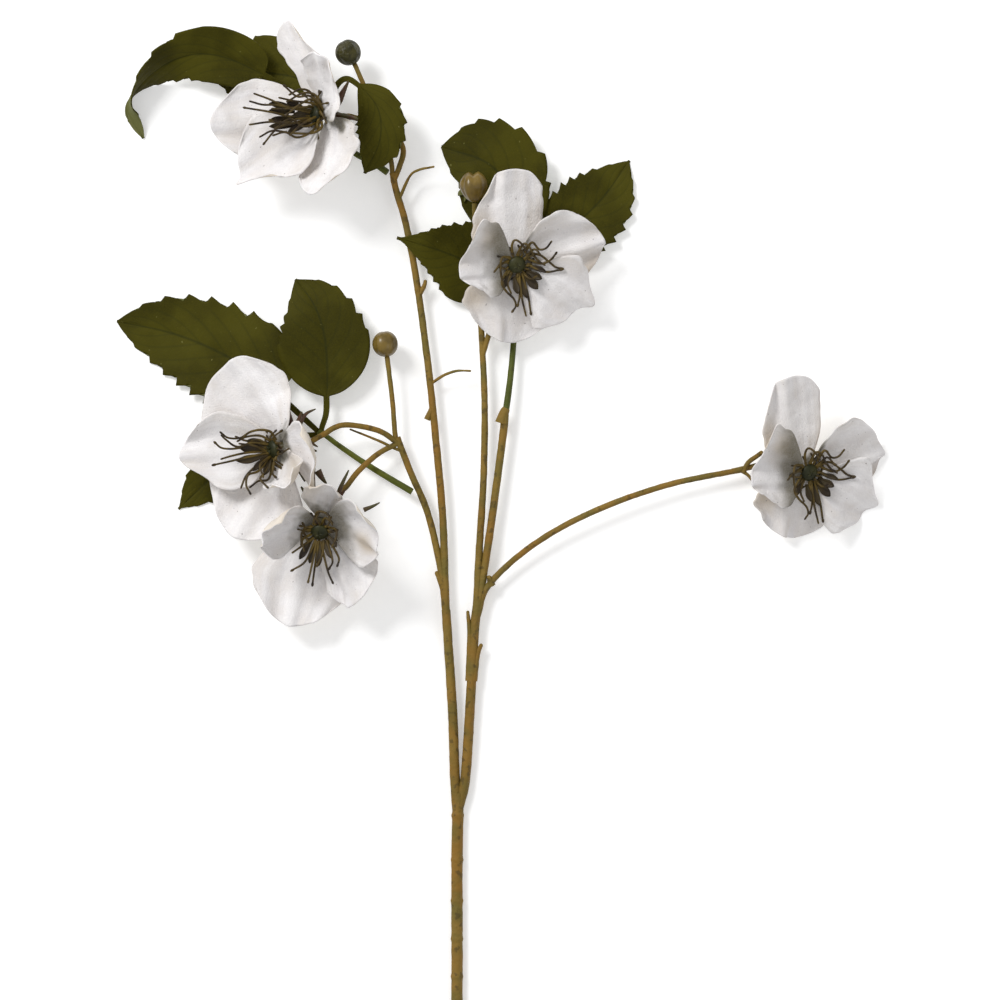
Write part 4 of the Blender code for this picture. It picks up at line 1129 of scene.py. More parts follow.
class BladeForm(Form):
    """Ribs, a midrib and fine crinkles on a blade whose points carry their length and their width."""

    label = "Ribs on a blade"
    inputs = (
        Entry("Ribs Along"),
        Entry("Ribs Across"),
        Entry("Rib Height"),
        Entry("Rib Sharpness", 2.0),
        Entry("Midrib Height"),
        Entry("Midrib Width", 0.06),
        Entry("Crinkle Height"),
        Entry("Crinkle Scale", 120.0),
        Entry("Stain Reach", 0.2),
        Entry("Seed"),
    )

    def shape(self, board: Board, entry: Sockets) -> Socket:
        """Raises the blade's points along their normals and marks its dark foot, a stain that also paints
        shade.

        Args:
            board: The tree's board.
            entry: What comes into the tree.

        Returns:
            The shaped geometry.
        """
        along = board.reading("along")
        aside = board.math("ABSOLUTE", board.reading("across"))
        crest = board.math("POWER", board.crests(along, aside, entry), entry["Rib Sharpness"])
        started = board.times(board.smooth(along, 0.02, 0.22), board.fade(along, 0.84, 0.97))
        rib = board.times(crest, entry["Rib Height"], board.fade(aside, 0.7, 1.0), started)
        middle = board.times(board.fade(aside, 0.0, entry["Midrib Width"]), entry["Midrib Height"])
        place = board.place()
        rough = board.minus(board.noise(place, entry["Crinkle Scale"], 3.0, entry["Seed"]), 0.5)
        rough = board.times(rough, entry["Crinkle Height"], started)
        raised = board.raised(entry["Geometry"], board.plus(board.plus(rib, middle), rough))
        # the dark foot: the root's olive stain, which on far-reaching petals is also painted shade round the
        # centre
        blot = board.times(board.minus(board.noise(place, 150.0, 2.0, entry["Seed"]), 0.5), 0.5)
        full = board.times(entry["Stain Reach"], 0.3)
        return board.store(raised, "stain", board.fade(board.plus(along, blot), full, entry["Stain Reach"]))


def laid_down(mesh: Mesh) -> Mesh:
    """The same mesh with nothing of it below the table."""
    for vert in mesh.vertices:
        vert.co.z = max(vert.co.z, 0.0)
    return mesh


def thicken(mesh: Mesh, thickness: float, under: Material | None = None) -> Mesh:
    """Gives an open blade an even thickness.

    Args:
        mesh: The open blade with its material, which is used up.
        thickness: The thickness in millimetres, half of it on each side.
        under: A material for the back, or None for the same one.

    Returns:
        The closed blade, with nothing of it below the table.
    """
    name = mesh.name
    if under is not None:
        mesh.materials.append(under)
    guide = linked(name + "_guide", mesh)
    solid = guide.modifiers.new("Thickness", "SOLIDIFY")
    solid.thickness = thickness * MM
    solid.offset = 0.0
    solid.material_offset = 0 if under is None else 1
    return laid_down(settled(guide, name))


def blade_mesh(name: str, surface: Surface, rows: int, columns: int, lowest: float) -> Mesh:
    """Makes an open blade whose points know how far along and across it they are.

    Args:
        name: The mesh's name.
        surface: The place for a length from 0 to 1 and a width from -1 to 1, in millimetres.
        rows: The number of faces along the blade.
        columns: The number of faces across it.
        lowest: The least height over the table, in millimetres.

    Returns:
        The mesh, with a UV map that shows its plan.
    """
    plan = [(i / rows, 2.0 * j / columns - 1.0) for i in range(rows + 1) for j in range(columns + 1)]
    points = []
    for s, t in plan:
        place = surface(s, t)
        place.z = max(place.z, lowest)
        points.append(place * MM)
    starts = [i * (columns + 1) + j for i in range(rows) for j in range(columns)]
    faces = [(a, a + 1, a + columns + 2, a + columns + 1) for a in starts]
    mesh = bpy.data.meshes.new(name)
    mesh.from_pydata(points, [], faces)
    for label, index in (("along", 0), ("across", 1)):
        attribute = mesh.attributes.new(label, "FLOAT", "POINT")
        attribute.data.foreach_set("value", [place[index] for place in plan])
    chart = mesh.uv_layers.new(name="Plan")
    for loop, corner in zip(mesh.loops, chart.data):
        s, t = plan[loop.vertex_index]
        corner.uv = (s, 0.5 + 0.5 * t)
    return mesh


def strand_mesh(name: str, strands: Iterable[Strand]) -> Mesh:
    """Makes a mesh of edges along strands, whose points carry the girth, the run and the tips.

    Args:
        name: The mesh's name.
        strands: The strands.

    Returns:
        The mesh, which has no faces yet.
    """
    points: list[Vector] = []
    edges: list[tuple[int, int]] = []
    girths: list[float] = []
    runs: list[float] = []
    tips: list[bool] = []
    for strand in strands:
        first = len(points)
        last = len(strand.places) - 1
        points += [place * MM for place in strand.places]
        edges += [(first + k, first + k + 1) for k in range(last)]
        girths += [girth * MM for girth in strand.girths]
        runs += [k / last for k in range(last + 1)]
        tips += [strand.headed and k == last for k in range(last + 1)]
    mesh = bpy.data.meshes.new(name)
    mesh.from_pydata(points, edges, [])
    mesh.attributes.new("girth", "FLOAT", "POINT").data.foreach_set("value", girths)
    mesh.attributes.new("along", "FLOAT", "POINT").data.foreach_set("value", runs)
    mesh.attributes.new("tip", "BOOLEAN", "POINT").data.foreach_set("value", tips)
    return mesh


def poured(name: str, bm: bmesh.types.BMesh, frame: Matrix, material: Material) -> Mesh:
    """Turns a shape in millimetres into a smooth mesh in its place.

    Args:
        name: The mesh's name.
        bm: The shape, which is used up.
        frame: Where it stands.
        material: Its material.

    Returns:
        The mesh.
    """
    bmesh.ops.transform(bm, matrix=Matrix.Scale(MM, 4) @ frame, verts=bm.verts)
    mesh = bpy.data.meshes.new(name)
    bm.to_mesh(mesh)
    bm.free()
    mesh.shade_smooth()
    mesh.materials.append(material)
    return mesh


def turned(profile: Sequence[tuple[float, float]], sides: int) -> bmesh.types.BMesh:
    """Turns a profile about the Z axis.

    Args:
        profile: Radius and height of each point, which starts and ends on the axis.
        sides: The number of faces round it.

    Returns:
        The closed shape.
    """
    bm = bmesh.new()
    rings = []
    for radius, height in profile[1:-1]:
        turns = [2.0 * math.pi * k / sides for k in range(sides)]
        rings.append([bm.verts.new((radius * math.cos(a), radius * math.sin(a), height)) for a in turns])
    foot = bm.verts.new((0.0, 0.0, profile[0][1]))
    top = bm.verts.new((0.0, 0.0, profile[-1][1]))
    for k in range(sides):
        after = (k + 1) % sides
        bm.faces.new((foot, rings[0][after], rings[0][k]))
        bm.faces.new((top, rings[-1][k], rings[-1][after]))
        for low, high in zip(rings, rings[1:]):
            bm.faces.new((low[k], low[after], high[after], high[k]))
    return bm


def joined(name: str, meshes: Sequence[Mesh]) -> Mesh:
    """Puts several meshes into one, with their materials and attributes.

    Args:
        name: The name of the result.
        meshes: The meshes, which are used up.

    Returns:
        The one mesh.
    """
    parts = [linked(mesh.name, mesh) for mesh in meshes]
    with bpy.context.temp_override(active_object=parts[0], selected_editable_objects=parts):
        bpy.ops.object.join()
    done = parts[0].data
    bpy.data.objects.remove(parts[0], do_unlink=True)
    done.name = name
    return done


def hand_over(name: str, mesh: Mesh, node: str, slot: Slot) -> None:
    """Places a finished mesh in the scene in the place of a node of the frame.

    Args:
        name: The piece's name.
        mesh: Its finished mesh.
        node: The node that it stands for.
        slot: The piece's material slot, which is not used.
    """
    mesh.name = name
    piece = linked(name, mesh)
    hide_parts(node)
    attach(piece, BODY)
    LOG.info("%s: %d faces", name, len(mesh.polygons))


class Shared:
    """The shader groups that several finishes use, each built once."""

    def __init__(self) -> None:
        """Builds the groups."""
        self.mottle = self._mottle()
        self.fibre = self._fibre()
        self.veins = self._veins()

    @staticmethod
    def _group(name: str, inputs: Sequence[Entry], outputs: Sequence[str]) -> tuple[Board, Sockets]:
        """Starts a group.

        Args:
            name: The group's name.
            inputs: Its inputs.
            outputs: The names of its outputs.

        Returns:
            Its board and what comes in.
        """
        tree = bpy.data.node_groups.new(name, "ShaderNodeTree")
        for item in inputs:
            made = tree.interface.new_socket(item.name, in_out="INPUT", socket_type=f"NodeSocket{item.kind}")
            made.default_value = item.default
        for label in outputs:
            tree.interface.new_socket(label, in_out="OUTPUT", socket_type="NodeSocketFloat")
        board = Board(tree)
        return board, board.add("NodeGroupInput").outputs

    def _mottle(self) -> bpy.types.NodeTree:
        """Makes soft patches and a fine grain.

        Returns:
            The group, which puts out both from 0 to 1.
        """
        inputs = (Entry("Patch Scale", 40.0), Entry("Grain Scale", 900.0), Entry("Seed"))
        board, entry = self._group("Soft patches and grain", inputs, ("Patch", "Grain"))
        place = board.place()
        patch = board.noise(place, entry["Patch Scale"], 3.0, entry["Seed"])
        grain = board.noise(place, entry["Grain Scale"], 4.0, entry["Seed"])
        wires = {"Patch": board.smooth(patch, 0.36, 0.64), "Grain": board.smooth(grain, 0.3, 0.7)}
        board.add("NodeGroupOutput", wires)
        return board.tree

    def _fibre(self) -> bpy.types.NodeTree:
        """Makes fine lines that run along a piece and waver.

        Returns:
            The group, which puts out the lines from 0 to 1.
        """
        inputs = (Entry("Count", 30.0), Entry("Stretch", 3.0), Entry("Seed"))
        board, entry = self._group("Lines along a piece", inputs, ("Line",))
        along = board.times(board.reading("along"), entry["Stretch"])
        across = board.times(board.reading("across"), entry["Count"])
        place = board.add("ShaderNodeCombineXYZ", {0: along, 1: across}).outputs[0]
        line = board.noise(place, 1.0, 2.0, entry["Seed"])
        board.add("NodeGroupOutput", {"Line": board.smooth(line, 0.3, 0.7)})
        return board.tree

    def _veins(self) -> bpy.types.NodeTree:
        """Makes narrow lines where the ribs of a blade run, and its midrib.

        Returns:
            The group, which puts out both from 0 to 1.
        """
        inputs = (
            Entry("Ribs Along", 8.0),
            Entry("Ribs Across", -3.0),
            Entry("Sharpness", 30.0),
            Entry("Midrib Width", 0.05),
        )
        board, entry = self._group("Veins of a blade", inputs, ("Rib", "Midrib"))
        aside = board.math("ABSOLUTE", board.reading("across"))
        rib = board.math("POWER", board.crests(board.reading("along"), aside, entry), entry["Sharpness"])
        rib = board.times(rib, board.fade(aside, 0.55, 0.95))
        midrib = board.fade(aside, 0.0, entry["Midrib Width"])
        board.add("NodeGroupOutput", {"Rib": rib, "Midrib": midrib})
        return board.tree


@dataclass(frozen=True)
class Finish:
    """A finish that is made of colours and masks on one Principled surface."""

    name: str
    colour: Colour
    roughness: float = 0.6

    def make(self, shared: Shared) -> Material:
        """Makes the material.

        Args:
            shared: The shader groups.

        Returns:
            The material.
        """
        material = bpy.data.materials.new(self.name)
        material.use_nodes = True
        board = Board(material.node_tree)
        surface = material.node_tree.nodes["Principled BSDF"]
        for key, value in self.wires(board, shared).items():
            board.feed(surface, key, value)
        return material

    def wires(self, board: Board, shared: Shared) -> Wires:
        """Finds what goes into the surface.

        Args:
            board: The material's board.
            shared: The shader groups.

        Returns:
            Sockets, colours and values by the surface's inputs.
        """
        raise NotImplementedError

    @staticmethod
    def relief(board: Board, height: Wire, depth: float) -> Socket:
        """A bump of a depth in millimetres."""
        wires = {"Height": height, "Distance": depth * MM, "Strength": 1.0}
        return board.add("ShaderNodeBump", wires).outputs[0]


@dataclass(frozen=True)
class PetalFinish(Finish):
    """Soft white cloth with painted grey shade, painted warm shade in folds and at rims, a root stain that
    also paints shade, and a few dark dots.
    """

    shade: Colour = (0.56, 0.54, 0.57)
    # painted shade: the warm beige that folds and curled rims take
    warm_shade: Colour = (0.68, 0.61, 0.52)
    # painted shade laid in the folds at each petal's marks
    fold: Colour = (0.52, 0.44, 0.34)
    # the olive stain at the root, which also paints shade round the centre where it reaches far
    stain: Colour = (0.085, 0.07, 0.024)
    dot: Colour = (0.16, 0.13, 0.12)
    # how much painted warm shade lies on the curled rims
    rim_shade: float = 0.35

    def wires(self, board: Board, shared: Shared) -> Wires:
        """Lays painted grey shade, painted warm shade in streaks and at rims, painted fold shade, a stain
        that also paints shade, grain and dots over the cloth.

        Args:
            board: The material's board.
            shared: The shader groups.

        Returns:
            What goes into the surface, by its inputs.
        """
        mottle = board.group(shared.mottle, Patch_Scale=70.0, Grain_Scale=1500.0)
        fibre = board.group(shared.fibre, Count=9.0, Stretch=2.0)["Line"]
        broad = board.group(shared.fibre, Count=3.2, Stretch=1.4, Seed=6.0)["Line"]
        colour = board.mix(board.times(mottle["Patch"], 0.3), self.colour, self.shade)
        colour = board.mix(board.times(fibre, 0.18), colour, self.shade)
        # painted warm shade in broad streaks along the petal, as in its folds
        colour = board.mix(board.times(broad, mottle["Patch"], 0.45), colour, self.warm_shade)
        # painted warm shade on the curled rims
        rim = board.smooth(board.math("ABSOLUTE", board.reading("across")), 0.55, 1.0)
        colour = board.mix(board.times(rim, self.rim_shade, fibre), colour, self.warm_shade)
        # painted shade in the folds at the petal's marks
        colour = board.mix(board.times(board.reading("blush"), 0.8), colour, self.fold)
        # the olive stain at the root, with painted shade round the centre where it reaches far
        colour = board.mix(board.times(board.reading("stain"), 0.85), colour, self.stain)
        colour = board.mix(board.times(mottle["Grain"], 0.16), colour, self.shade)
        dots = board.smooth(board.noise(board.place(), 900.0, 0.0, 20.0), 0.79, 0.83)
        return {
            "Base Color": board.mix(board.times(dots, 0.6), colour, self.dot),
            "Roughness": self.roughness,
            "Specular IOR Level": 0.25,
            "Sheen Weight": 0.25,
            "Sheen Roughness": 0.5,
            "Normal": self.relief(board, mottle["Grain"], 0.12),
        }


@dataclass(frozen=True)
class LeafFinish(Finish):
    """Dark leaf with lighter patches, sunk veins, light flecks and a soft sheen."""

    patch: Colour = (0.058, 0.052, 0.003)
    vein: Colour = (0.014, 0.018, 0.003)
    fleck: Colour = (0.22, 0.21, 0.07)
    shine: float = 0.09

    def wires(self, board: Board, shared: Shared) -> Wires:
        """Lays patches, grain, veins and flecks over the leaf.

        Args:
            board: The material's board.
            shared: The shader groups.

        Returns:
            What goes into the surface, by its inputs.
        """
        mottle = board.group(shared.mottle, Patch_Scale=45.0, Grain_Scale=1400.0)
        veins = board.group(shared.veins)
        colour = board.mix(mottle["Patch"], self.colour, self.patch)
        colour = board.mix(board.times(mottle["Grain"], 0.35), colour, self.patch)
        colour = board.mix(board.times(veins["Rib"], 0.22), colour, self.vein)
        colour = board.mix(board.times(veins["Midrib"], 0.5), colour, self.vein)
        flecks = board.smooth(board.noise(board.place(), 520.0, 1.0, 3.0), 0.74, 0.8)
        return {
            "Base Color": board.mix(board.times(flecks, 0.5), colour, self.fleck),
            "Roughness": board.plus(board.times(mottle["Grain"], 0.12), self.roughness),
            "Specular IOR Level": self.shine,
            "Normal": self.relief(board, mottle["Grain"], 0.06),
        }


@dataclass(frozen=True)
class StemFinish(Finish):
    """Moulded stem with patches of a second and a third colour and small dark specks."""

    second: Colour = (0.22, 0.115, 0.016)
    third: Colour = (0.095, 0.09, 0.018)
    speck: Colour = (0.05, 0.035, 0.01)

    def wires(self, board: Board, shared: Shared) -> Wires:
        """Lays broad patches, close patches and specks over the stem.

        Args:
            board: The material's board.
            shared: The shader groups.

        Returns:
            What goes into the surface, by its inputs.
        """
        broad = board.group(shared.mottle, Patch_Scale=28.0, Grain_Scale=700.0)
        close = board.group(shared.mottle, Patch_Scale=90.0, Grain_Scale=320.0, Seed=7.0)
        colour = board.mix(broad["Patch"], self.colour, self.second)
        colour = board.mix(board.times(close["Patch"], 0.6), colour, self.third)
        specks = board.smooth(close["Grain"], 0.72, 0.95)
        return {
            "Base Color": board.mix(board.times(specks, 0.6), colour, self.speck),
            "Roughness": board.plus(board.times(broad["Grain"], 0.15), self.roughness),
            "Specular IOR Level": 0.25,
            "Normal": self.relief(board, board.plus(broad["Grain"], close["Grain"]), 0.12),
        }


@dataclass(frozen=True)
class ThreadFinish(Finish):
    """Dark threads that are lighter at their feet."""

    foot: Colour = (0.16, 0.13, 0.03)

    def wires(self, board: Board, shared: Shared) -> Wires:
        """Lightens the threads towards their feet and in patches.

        Args:
            board: The material's board.
            shared: The shader groups.

        Returns:
            What goes into the surface, by its inputs.
        """
        mottle = board.group(shared.mottle, Patch_Scale=220.0, Grain_Scale=1200.0)
        low = board.fade(board.reading("along"), 0.1, 0.75)
        light = board.times(board.plus(low, mottle["Patch"]), 0.5)
        return {
            "Base Color": board.mix(light, self.colour, self.foot),
            "Roughness": self.roughness,
            "Specular IOR Level": 0.35,
            "Normal": self.relief(board, mottle["Grain"], 0.05),
        }


@dataclass(frozen=True)
class GlossyFinish(Finish):
    """Moulded body with soft patches and a coat of gloss, smooth or with lumps in the patches."""

    second: Colour = (0.08, 0.05, 0.015)
    gloss: float = 0.5
    seed: float = 0.0
    lumps: float = 0.0

    def wires(self, board: Board, shared: Shared) -> Wires:
        """Lays patches over the body and coats it.

        Args:
            board: The material's board.
            shared: The shader groups.

        Returns:
            What goes into the surface, by its inputs.
        """
        mottle = board.group(shared.mottle, Patch_Scale=160.0, Grain_Scale=1100.0, Seed=self.seed)
        rise, depth = (mottle["Patch"], self.lumps) if self.lumps else (mottle["Grain"], 0.04)
        return {
            "Base Color": board.mix(mottle["Patch"], self.colour, self.second),
            "Roughness": self.roughness,
            "Specular IOR Level": 0.25,
            "Coat Weight": self.gloss,
            "Coat Roughness": 0.22,
            "Normal": self.relief(board, rise, depth),
        }


@dataclass(frozen=True)
class TableFinish(Finish):
    """Plain matt white that glows a little, so that shadows on it stay faint."""

    glow: float = 0.3

    def wires(self, board: Board, shared: Shared) -> Wires:
        """Sets the plain values.

        Args:
            board: The material's board.
            shared: The shader groups, which the table does without.

        Returns:
            What goes into the surface, by its inputs.
        """
        return {
            "Base Color": self.colour,
            "Roughness": self.roughness,
            "Specular IOR Level": 0.0,
            "Emission Color": (1.0, 1.0, 1.0),
            "Emission Strength": self.glow,
        }


FINISHES: tuple[Finish, ...] = (
    GlossyFinish("bud_brown", (0.17, 0.11, 0.018), 0.35, second=(0.1, 0.065, 0.012), gloss=0.4, seed=2.0),
    GlossyFinish(
        "bud_dark_green", (0.045, 0.039, 0.005), 0.4,
        second=(0.02, 0.019, 0.003), gloss=0.08, seed=5.0, lumps=1.2,
    ),
    PetalFinish("petal_cloth", (0.87, 0.848, 0.842), 0.9),
    # the petals' backs: a darker, warmer copy of the cloth, which paints shade on them
    PetalFinish("petal_cloth_back", (0.74, 0.68, 0.6), 0.9, shade=(0.52, 0.45, 0.37), rim_shade=0.6),
    LeafFinish("leaf_face", (0.031, 0.0275, 0.0008), 0.62),
    LeafFinish("leaf_back", (0.1, 0.105, 0.03), 0.6, patch=(0.13, 0.13, 0.045), vein=(0.08, 0.08, 0.02)),
    StemFinish("stem_bark", (0.215, 0.135, 0.024), 0.6),
    StemFinish(
        "green_stalk_skin", (0.06, 0.075, 0.006), 0.5,
        second=(0.1, 0.11, 0.01), third=(0.05, 0.06, 0.006), speck=(0.04, 0.04, 0.006),
    ),
    ThreadFinish("stamen_thread", (0.016, 0.008, 0.0015), 0.6, foot=(0.13, 0.085, 0.012)),
    ThreadFinish("nectary_skin", (0.016, 0.008, 0.0015), 0.55, foot=(0.045, 0.03, 0.005)),
    GlossyFinish(
        "seed_dome", (0.012, 0.014, 0.003), 0.55, second=(0.035, 0.034, 0.007), gloss=0.05, seed=9.0
    ),
    GlossyFinish("cup_skin", (0.06, 0.055, 0.015), 0.55, second=(0.07, 0.03, 0.015), gloss=0.15, seed=4.0),
    TableFinish("pale_table", (0.85, 0.85, 0.85), 1.0),
)


@dataclass
class PetalRing:
    """The petals of one bloom, each a soft blade with fine ribs, folds and a wavy rim."""

    bloom: Bloom
    form: BladeForm
    face: Material
    back: Material
    thickness: float = 0.5
    fold_height: float = 0.45
    rim_wave: float = 0.02
    rim_roll: float = 0.7
    tip_wave: float = 0.012
    corner_breadth: float = 0.25
    rib_height: float = 0.22
    crinkle_height: float = 1.5

    def roots(self) -> list[Vector]:
        """Spreads the petals' roots evenly round the axis.

        Returns:
            The places of the roots.
        """
        step = 2.0 * math.pi / len(self.bloom.petals)
        first = self.bloom.first_turn
        places = []
        for i, petal in enumerate(self.bloom.petals):
            turn = first + step * i
            local = Vector((math.cos(turn), math.sin(turn), 0.0)) * PETAL_ROOT_RADIUS
            local.z = petal.layer * LAYER_STEP
            places.append(self.bloom.frame @ local)
        return places

    def surface(self, number: int, root: Vector) -> Surface:
        """Finds the middle surface of one petal.

        Args:
            number: The petal's place in the ring, from 0.
            root: The place of its root.

        Returns:
            A function of the length from 0 to 1 and the width from -1 to 1.
        """
        petals = self.bloom.petals
        petal = petals[number]
        drape = DRAPES[self.bloom.name][number]
        rise_after = RIM_OVER if petal.layer > petals[(number + 1) % len(petals)].layer else RIM_UNDER
        rise_before = RIM_OVER if petal.layer > petals[number - 1].layer else RIM_UNDER
        span = Vector(petal.tip) - root
        ahead = span.normalized()
        chance = random.Random(self.bloom.seed * 10 + number)
        phase, bend, drift = chance.uniform(0.0, 6.0), chance.uniform(2.2, 3.4), chance.uniform(-1.5, 1.5)
        wobble = chance.uniform(0.0, 6.0)

        def place(s: float, t: float) -> Vector:
            """Finds a place on the petal.

            Args:
                s: The length from 0 to 1.
                t: The width from -1 to 1.

            Returns:
                The place in millimetres.
            """
            near, far = (drape.root[0], drape.left) if t < 0.0 else (drape.root[1], drape.right)
            half = petal.half_width(s) * eased((near, *far), s)
            half *= 1.0 + self.rim_wave * math.sin(9.0 * s + wobble + 2.0 * (t > 0.0)) * min(3.0 * s, 1.0)
            look_up = min(petal.look_up + drape.lean, 1.0) * min(s / PETAL_TURNED, 1.0)
            facing = self.bloom.facing * (1.0 - look_up) + UP * look_up
            facing = (facing - ahead * facing.dot(ahead)).normalized()
            side = ahead.cross(facing)
            reach = s * (1.0 - PETAL_ROUND_OFF * s * t * t)
            reach += self.tip_wave * s**3 * math.sin(5.0 * t + phase)
            reach += drape.corner[1] * s**3 * bump(t, drape.corner[0], self.corner_breadth)
            grown = math.sin(math.pi * min(s * 1.1, 1.0) * 0.5) ** 2
            rim = rise_after if t < 0.0 else rise_before
            height = petal.bow * 4.0 * s * (1.0 - s) + half * rim * t * t
            height += petal.pleat * grown * math.cos(3.0 * math.pi * t) * (1.0 - 0.5 * abs(t))
            waves = drape.ruffle * grown
            height += PETAL_RUFFLE * waves * abs(t) ** 3 * math.sin(7.0 * s + 2.0 * t)
            height += self.fold_height * waves * math.sin(bend * math.pi * t + phase + drift * s)
            for middle, rise, breadth in drape.creases:
                height += CREASE_DEPTH * rise * grown * bump(t, middle, breadth)
            height += self.rim_roll * waves * t**6 * math.sin(4.0 * s + wobble)
            aside = half * t + drape.swing * s * s
            return root + span * reach + side * aside + facing * height

        return place

    @staticmethod
    def mark_fold_shade(mesh: Mesh, spots: Sequence[Point]) -> None:
        """Marks where a petal takes painted warm shade in its folds.

        Args:
            mesh: The petal, whose points carry their length and their width.
            spots: A place along, a place across and a size for each mark of painted fold shade.
        """
        mesh.attributes.new("blush", "FLOAT", "POINT")
        along, across = mesh.attributes["along"].data, mesh.attributes["across"].data
        for k, mark in enumerate(mesh.attributes["blush"].data):
            s, t = along[k].value, across[k].value
            mark.value = sum(bump(s, far, size) * bump(t, aside, 1.3 * size) for far, aside, size in spots)

    def build(self) -> None:
        """Builds the petals and hands them over."""
        for number, root in enumerate(self.roots()):
            node = f"petal_{self.bloom.name}_{number + 1}"
            drape = DRAPES[self.bloom.name][number]
            surface = self.surface(number, root)
            mesh = self.form.press(
                blade_mesh(node, surface, PETAL_ROWS, PETAL_COLUMNS, 0.5 * self.thickness),
                Ribs_Across=6.0,
                Rib_Height=self.rib_height * MM,
                Crinkle_Height=self.crinkle_height * MM,
                Stain_Reach=drape.stain,
                Seed=float(self.bloom.seed + number),
                Material=self.face,
            )
            # marks painted warm shade in the petal's folds
            self.mark_fold_shade(mesh, drape.blush)
            mesh = thicken(mesh, self.thickness, self.back)
            hand_over(f"bloom_{self.bloom.name}_petal_{number + 1}", mesh, node, Slot.PETAL)


@dataclass
class StamenTuft:
    """The dome of a bloom with its flat nectaries, its long curved stamens and a fringe of short ones."""

    bloom: Bloom
    form: TuftForm
    thread: Material
    nectary: Material
    skin: Material
    thread_radius: float = 0.64
    thread_step: float = 0.8
    foot_sink: float = 0.6
    fringe_count: int = 13
    fringe_length: float = 5.6
    fringe_radius: float = 0.5
    pod_count: int = 4
    head_width: float = 0.55
    paddle_thickness: float = 0.5

    @property
    def plan(self) -> TuftPlan:
        """The plan of this bloom's threads."""
        return TUFTS[self.bloom.name]

    @property
    def middle(self) -> Vector:
        """The middle of the dome."""
        return self.bloom.along_axis(PEG_TOP + FIT_GAP + 0.5 * DOME_HEIGHT) + Vector(self.plan.shift)

    def out_of_dome(self, local: Vector) -> Vector:
        """The place of a point that is given in the bloom's directions from the dome's middle."""
        return self.middle + self.bloom.frame.to_3x3() @ local

    def lifted(self, plan: PlanPoints, lift: float) -> list[Vector]:
        """Lifts a thread from its plan into space.

        Args:
            plan: Its points in steps from the dome's middle.
            lift: How high its end stands over the bloom's face or the table, in millimetres.

        Returns:
            The points.
        """
        face = self.bloom.facing
        last = len(plan) - 1
        places = []
        for k, (right, up) in enumerate(plan):
            offset = Vector((right, up, 0.0)) * PLAN_STEP
            level = -self.plan.hug * offset.dot(face) / face.z
            offset.z = level - self.foot_sink + (lift + self.foot_sink) * (k / last) ** 0.7
            places.append(self.middle + offset)
        return places

    def stamens(self) -> list[Strand]:
        """Lays out the stamens of the plan, then a short fringe round the dome.

        Returns:
            The threads.
        """
        chance = random.Random(self.bloom.seed)
        made = []
        for plan in self.plan.threads:
            places = SmoothPath(self.lifted(plan, chance.uniform(*self.plan.lift))).spaced(self.thread_step)
            made.append(Strand.shaped(places, lambda part: self.thread_radius * (1.0 - 0.3 * part), True))
        for i in range(self.fringe_count):
            turn = 2.0 * math.pi * (i + chance.uniform(-0.3, 0.3)) / self.fringe_count
            length = self.fringe_length * chance.uniform(0.7, 1.25)
            knots = []
            for part, out, up in ((0.0, 0.85, 0.1), (0.4, 1.0, 0.4), (1.0, 1.0, chance.uniform(-0.2, 0.35))):
                swayed = turn + chance.uniform(-0.5, 0.5) * part
                reach = DOME_RADIUS * out + length * part
                local = (math.cos(swayed) * reach, math.sin(swayed) * reach, DOME_HEIGHT * (up - 0.3))
                knots.append(self.out_of_dome(Vector(local)))
            places = SmoothPath(knots).spaced(0.7)
            made.append(Strand.shaped(places, lambda part: self.fringe_radius * (1.2 - 0.5 * part), True))
        return made

    def paddle(self, half_width: float, plan: PlanPoints) -> Mesh:
        """Makes one flat nectary, a small spoon.

        Args:
            half_width: Its half width where it is broadest, in millimetres.
            plan: The points of its midline.

        Returns:
            The closed spoon.
        """
        over = (self.bloom.facing * self.plan.hug + UP * (1.0 - self.plan.hug)).normalized()
        path = SmoothPath(self.lifted(plan, self.plan.lift[0]))

        def place(s: float, t: float) -> Vector:
            """Finds a place on the spoon.

            Args:
                s: The length from 0 to 1.
                t: The width from -1 to 1.

            Returns:
                The place in millimetres.
            """
            middle, ahead = path.at(s)
            side = ahead.cross(over).normalized()
            half = half_width * (0.35 + 0.65 * math.sin(math.pi * min(s, 1.0) ** 1.7))
            half *= math.sqrt(max(1.0 - s**8, 0.0))
            return middle + side * (half * t) - ahead.cross(side) * (0.25 * half_width * t * t)

        mesh = blade_mesh("spoon", place, rows=12, columns=6, lowest=0.3)
        mesh.materials.append(self.nectary)
        mesh.shade_smooth()
        return thicken(mesh, self.paddle_thickness)

    def dome(self) -> Mesh:
        """Makes the rounded dome.

        Returns:
            The closed dome.
        """
        steps = 12
        profile = [(0.0, -0.5 * DOME_HEIGHT)]
        for k in range(1, steps):
            bulge = math.sin(math.pi * k / steps) ** 0.6
            profile.append((DOME_RADIUS * 1.08 * bulge, DOME_HEIGHT * (k / steps - 0.5)))
        profile.append((0.0, 0.5 * DOME_HEIGHT))
        return poured("dome", turned(profile, sides=24), frame_at(self.middle, self.bloom.facing), self.skin)

    def pods(self) -> list[Strand]:
        """Sets the short pointed seed pods on top of the dome.

        Returns:
            The pods.
        """
        made = []
        for i in range(self.pod_count):
            turn = 2.0 * math.pi * i / self.pod_count + 0.4
            knots = []
            for out, up in ((0.2, 0.45), (0.34, 0.53), (0.52, 0.5)):
                local = Vector((math.cos(turn), math.sin(turn), 0.0)) * (DOME_RADIUS * out)
                local.z = DOME_HEIGHT * up
                knots.append(self.out_of_dome(local))
            made.append(Strand.shaped(SmoothPath(knots).spaced(0.5), lambda part: 0.5 - 0.25 * part))
        return made

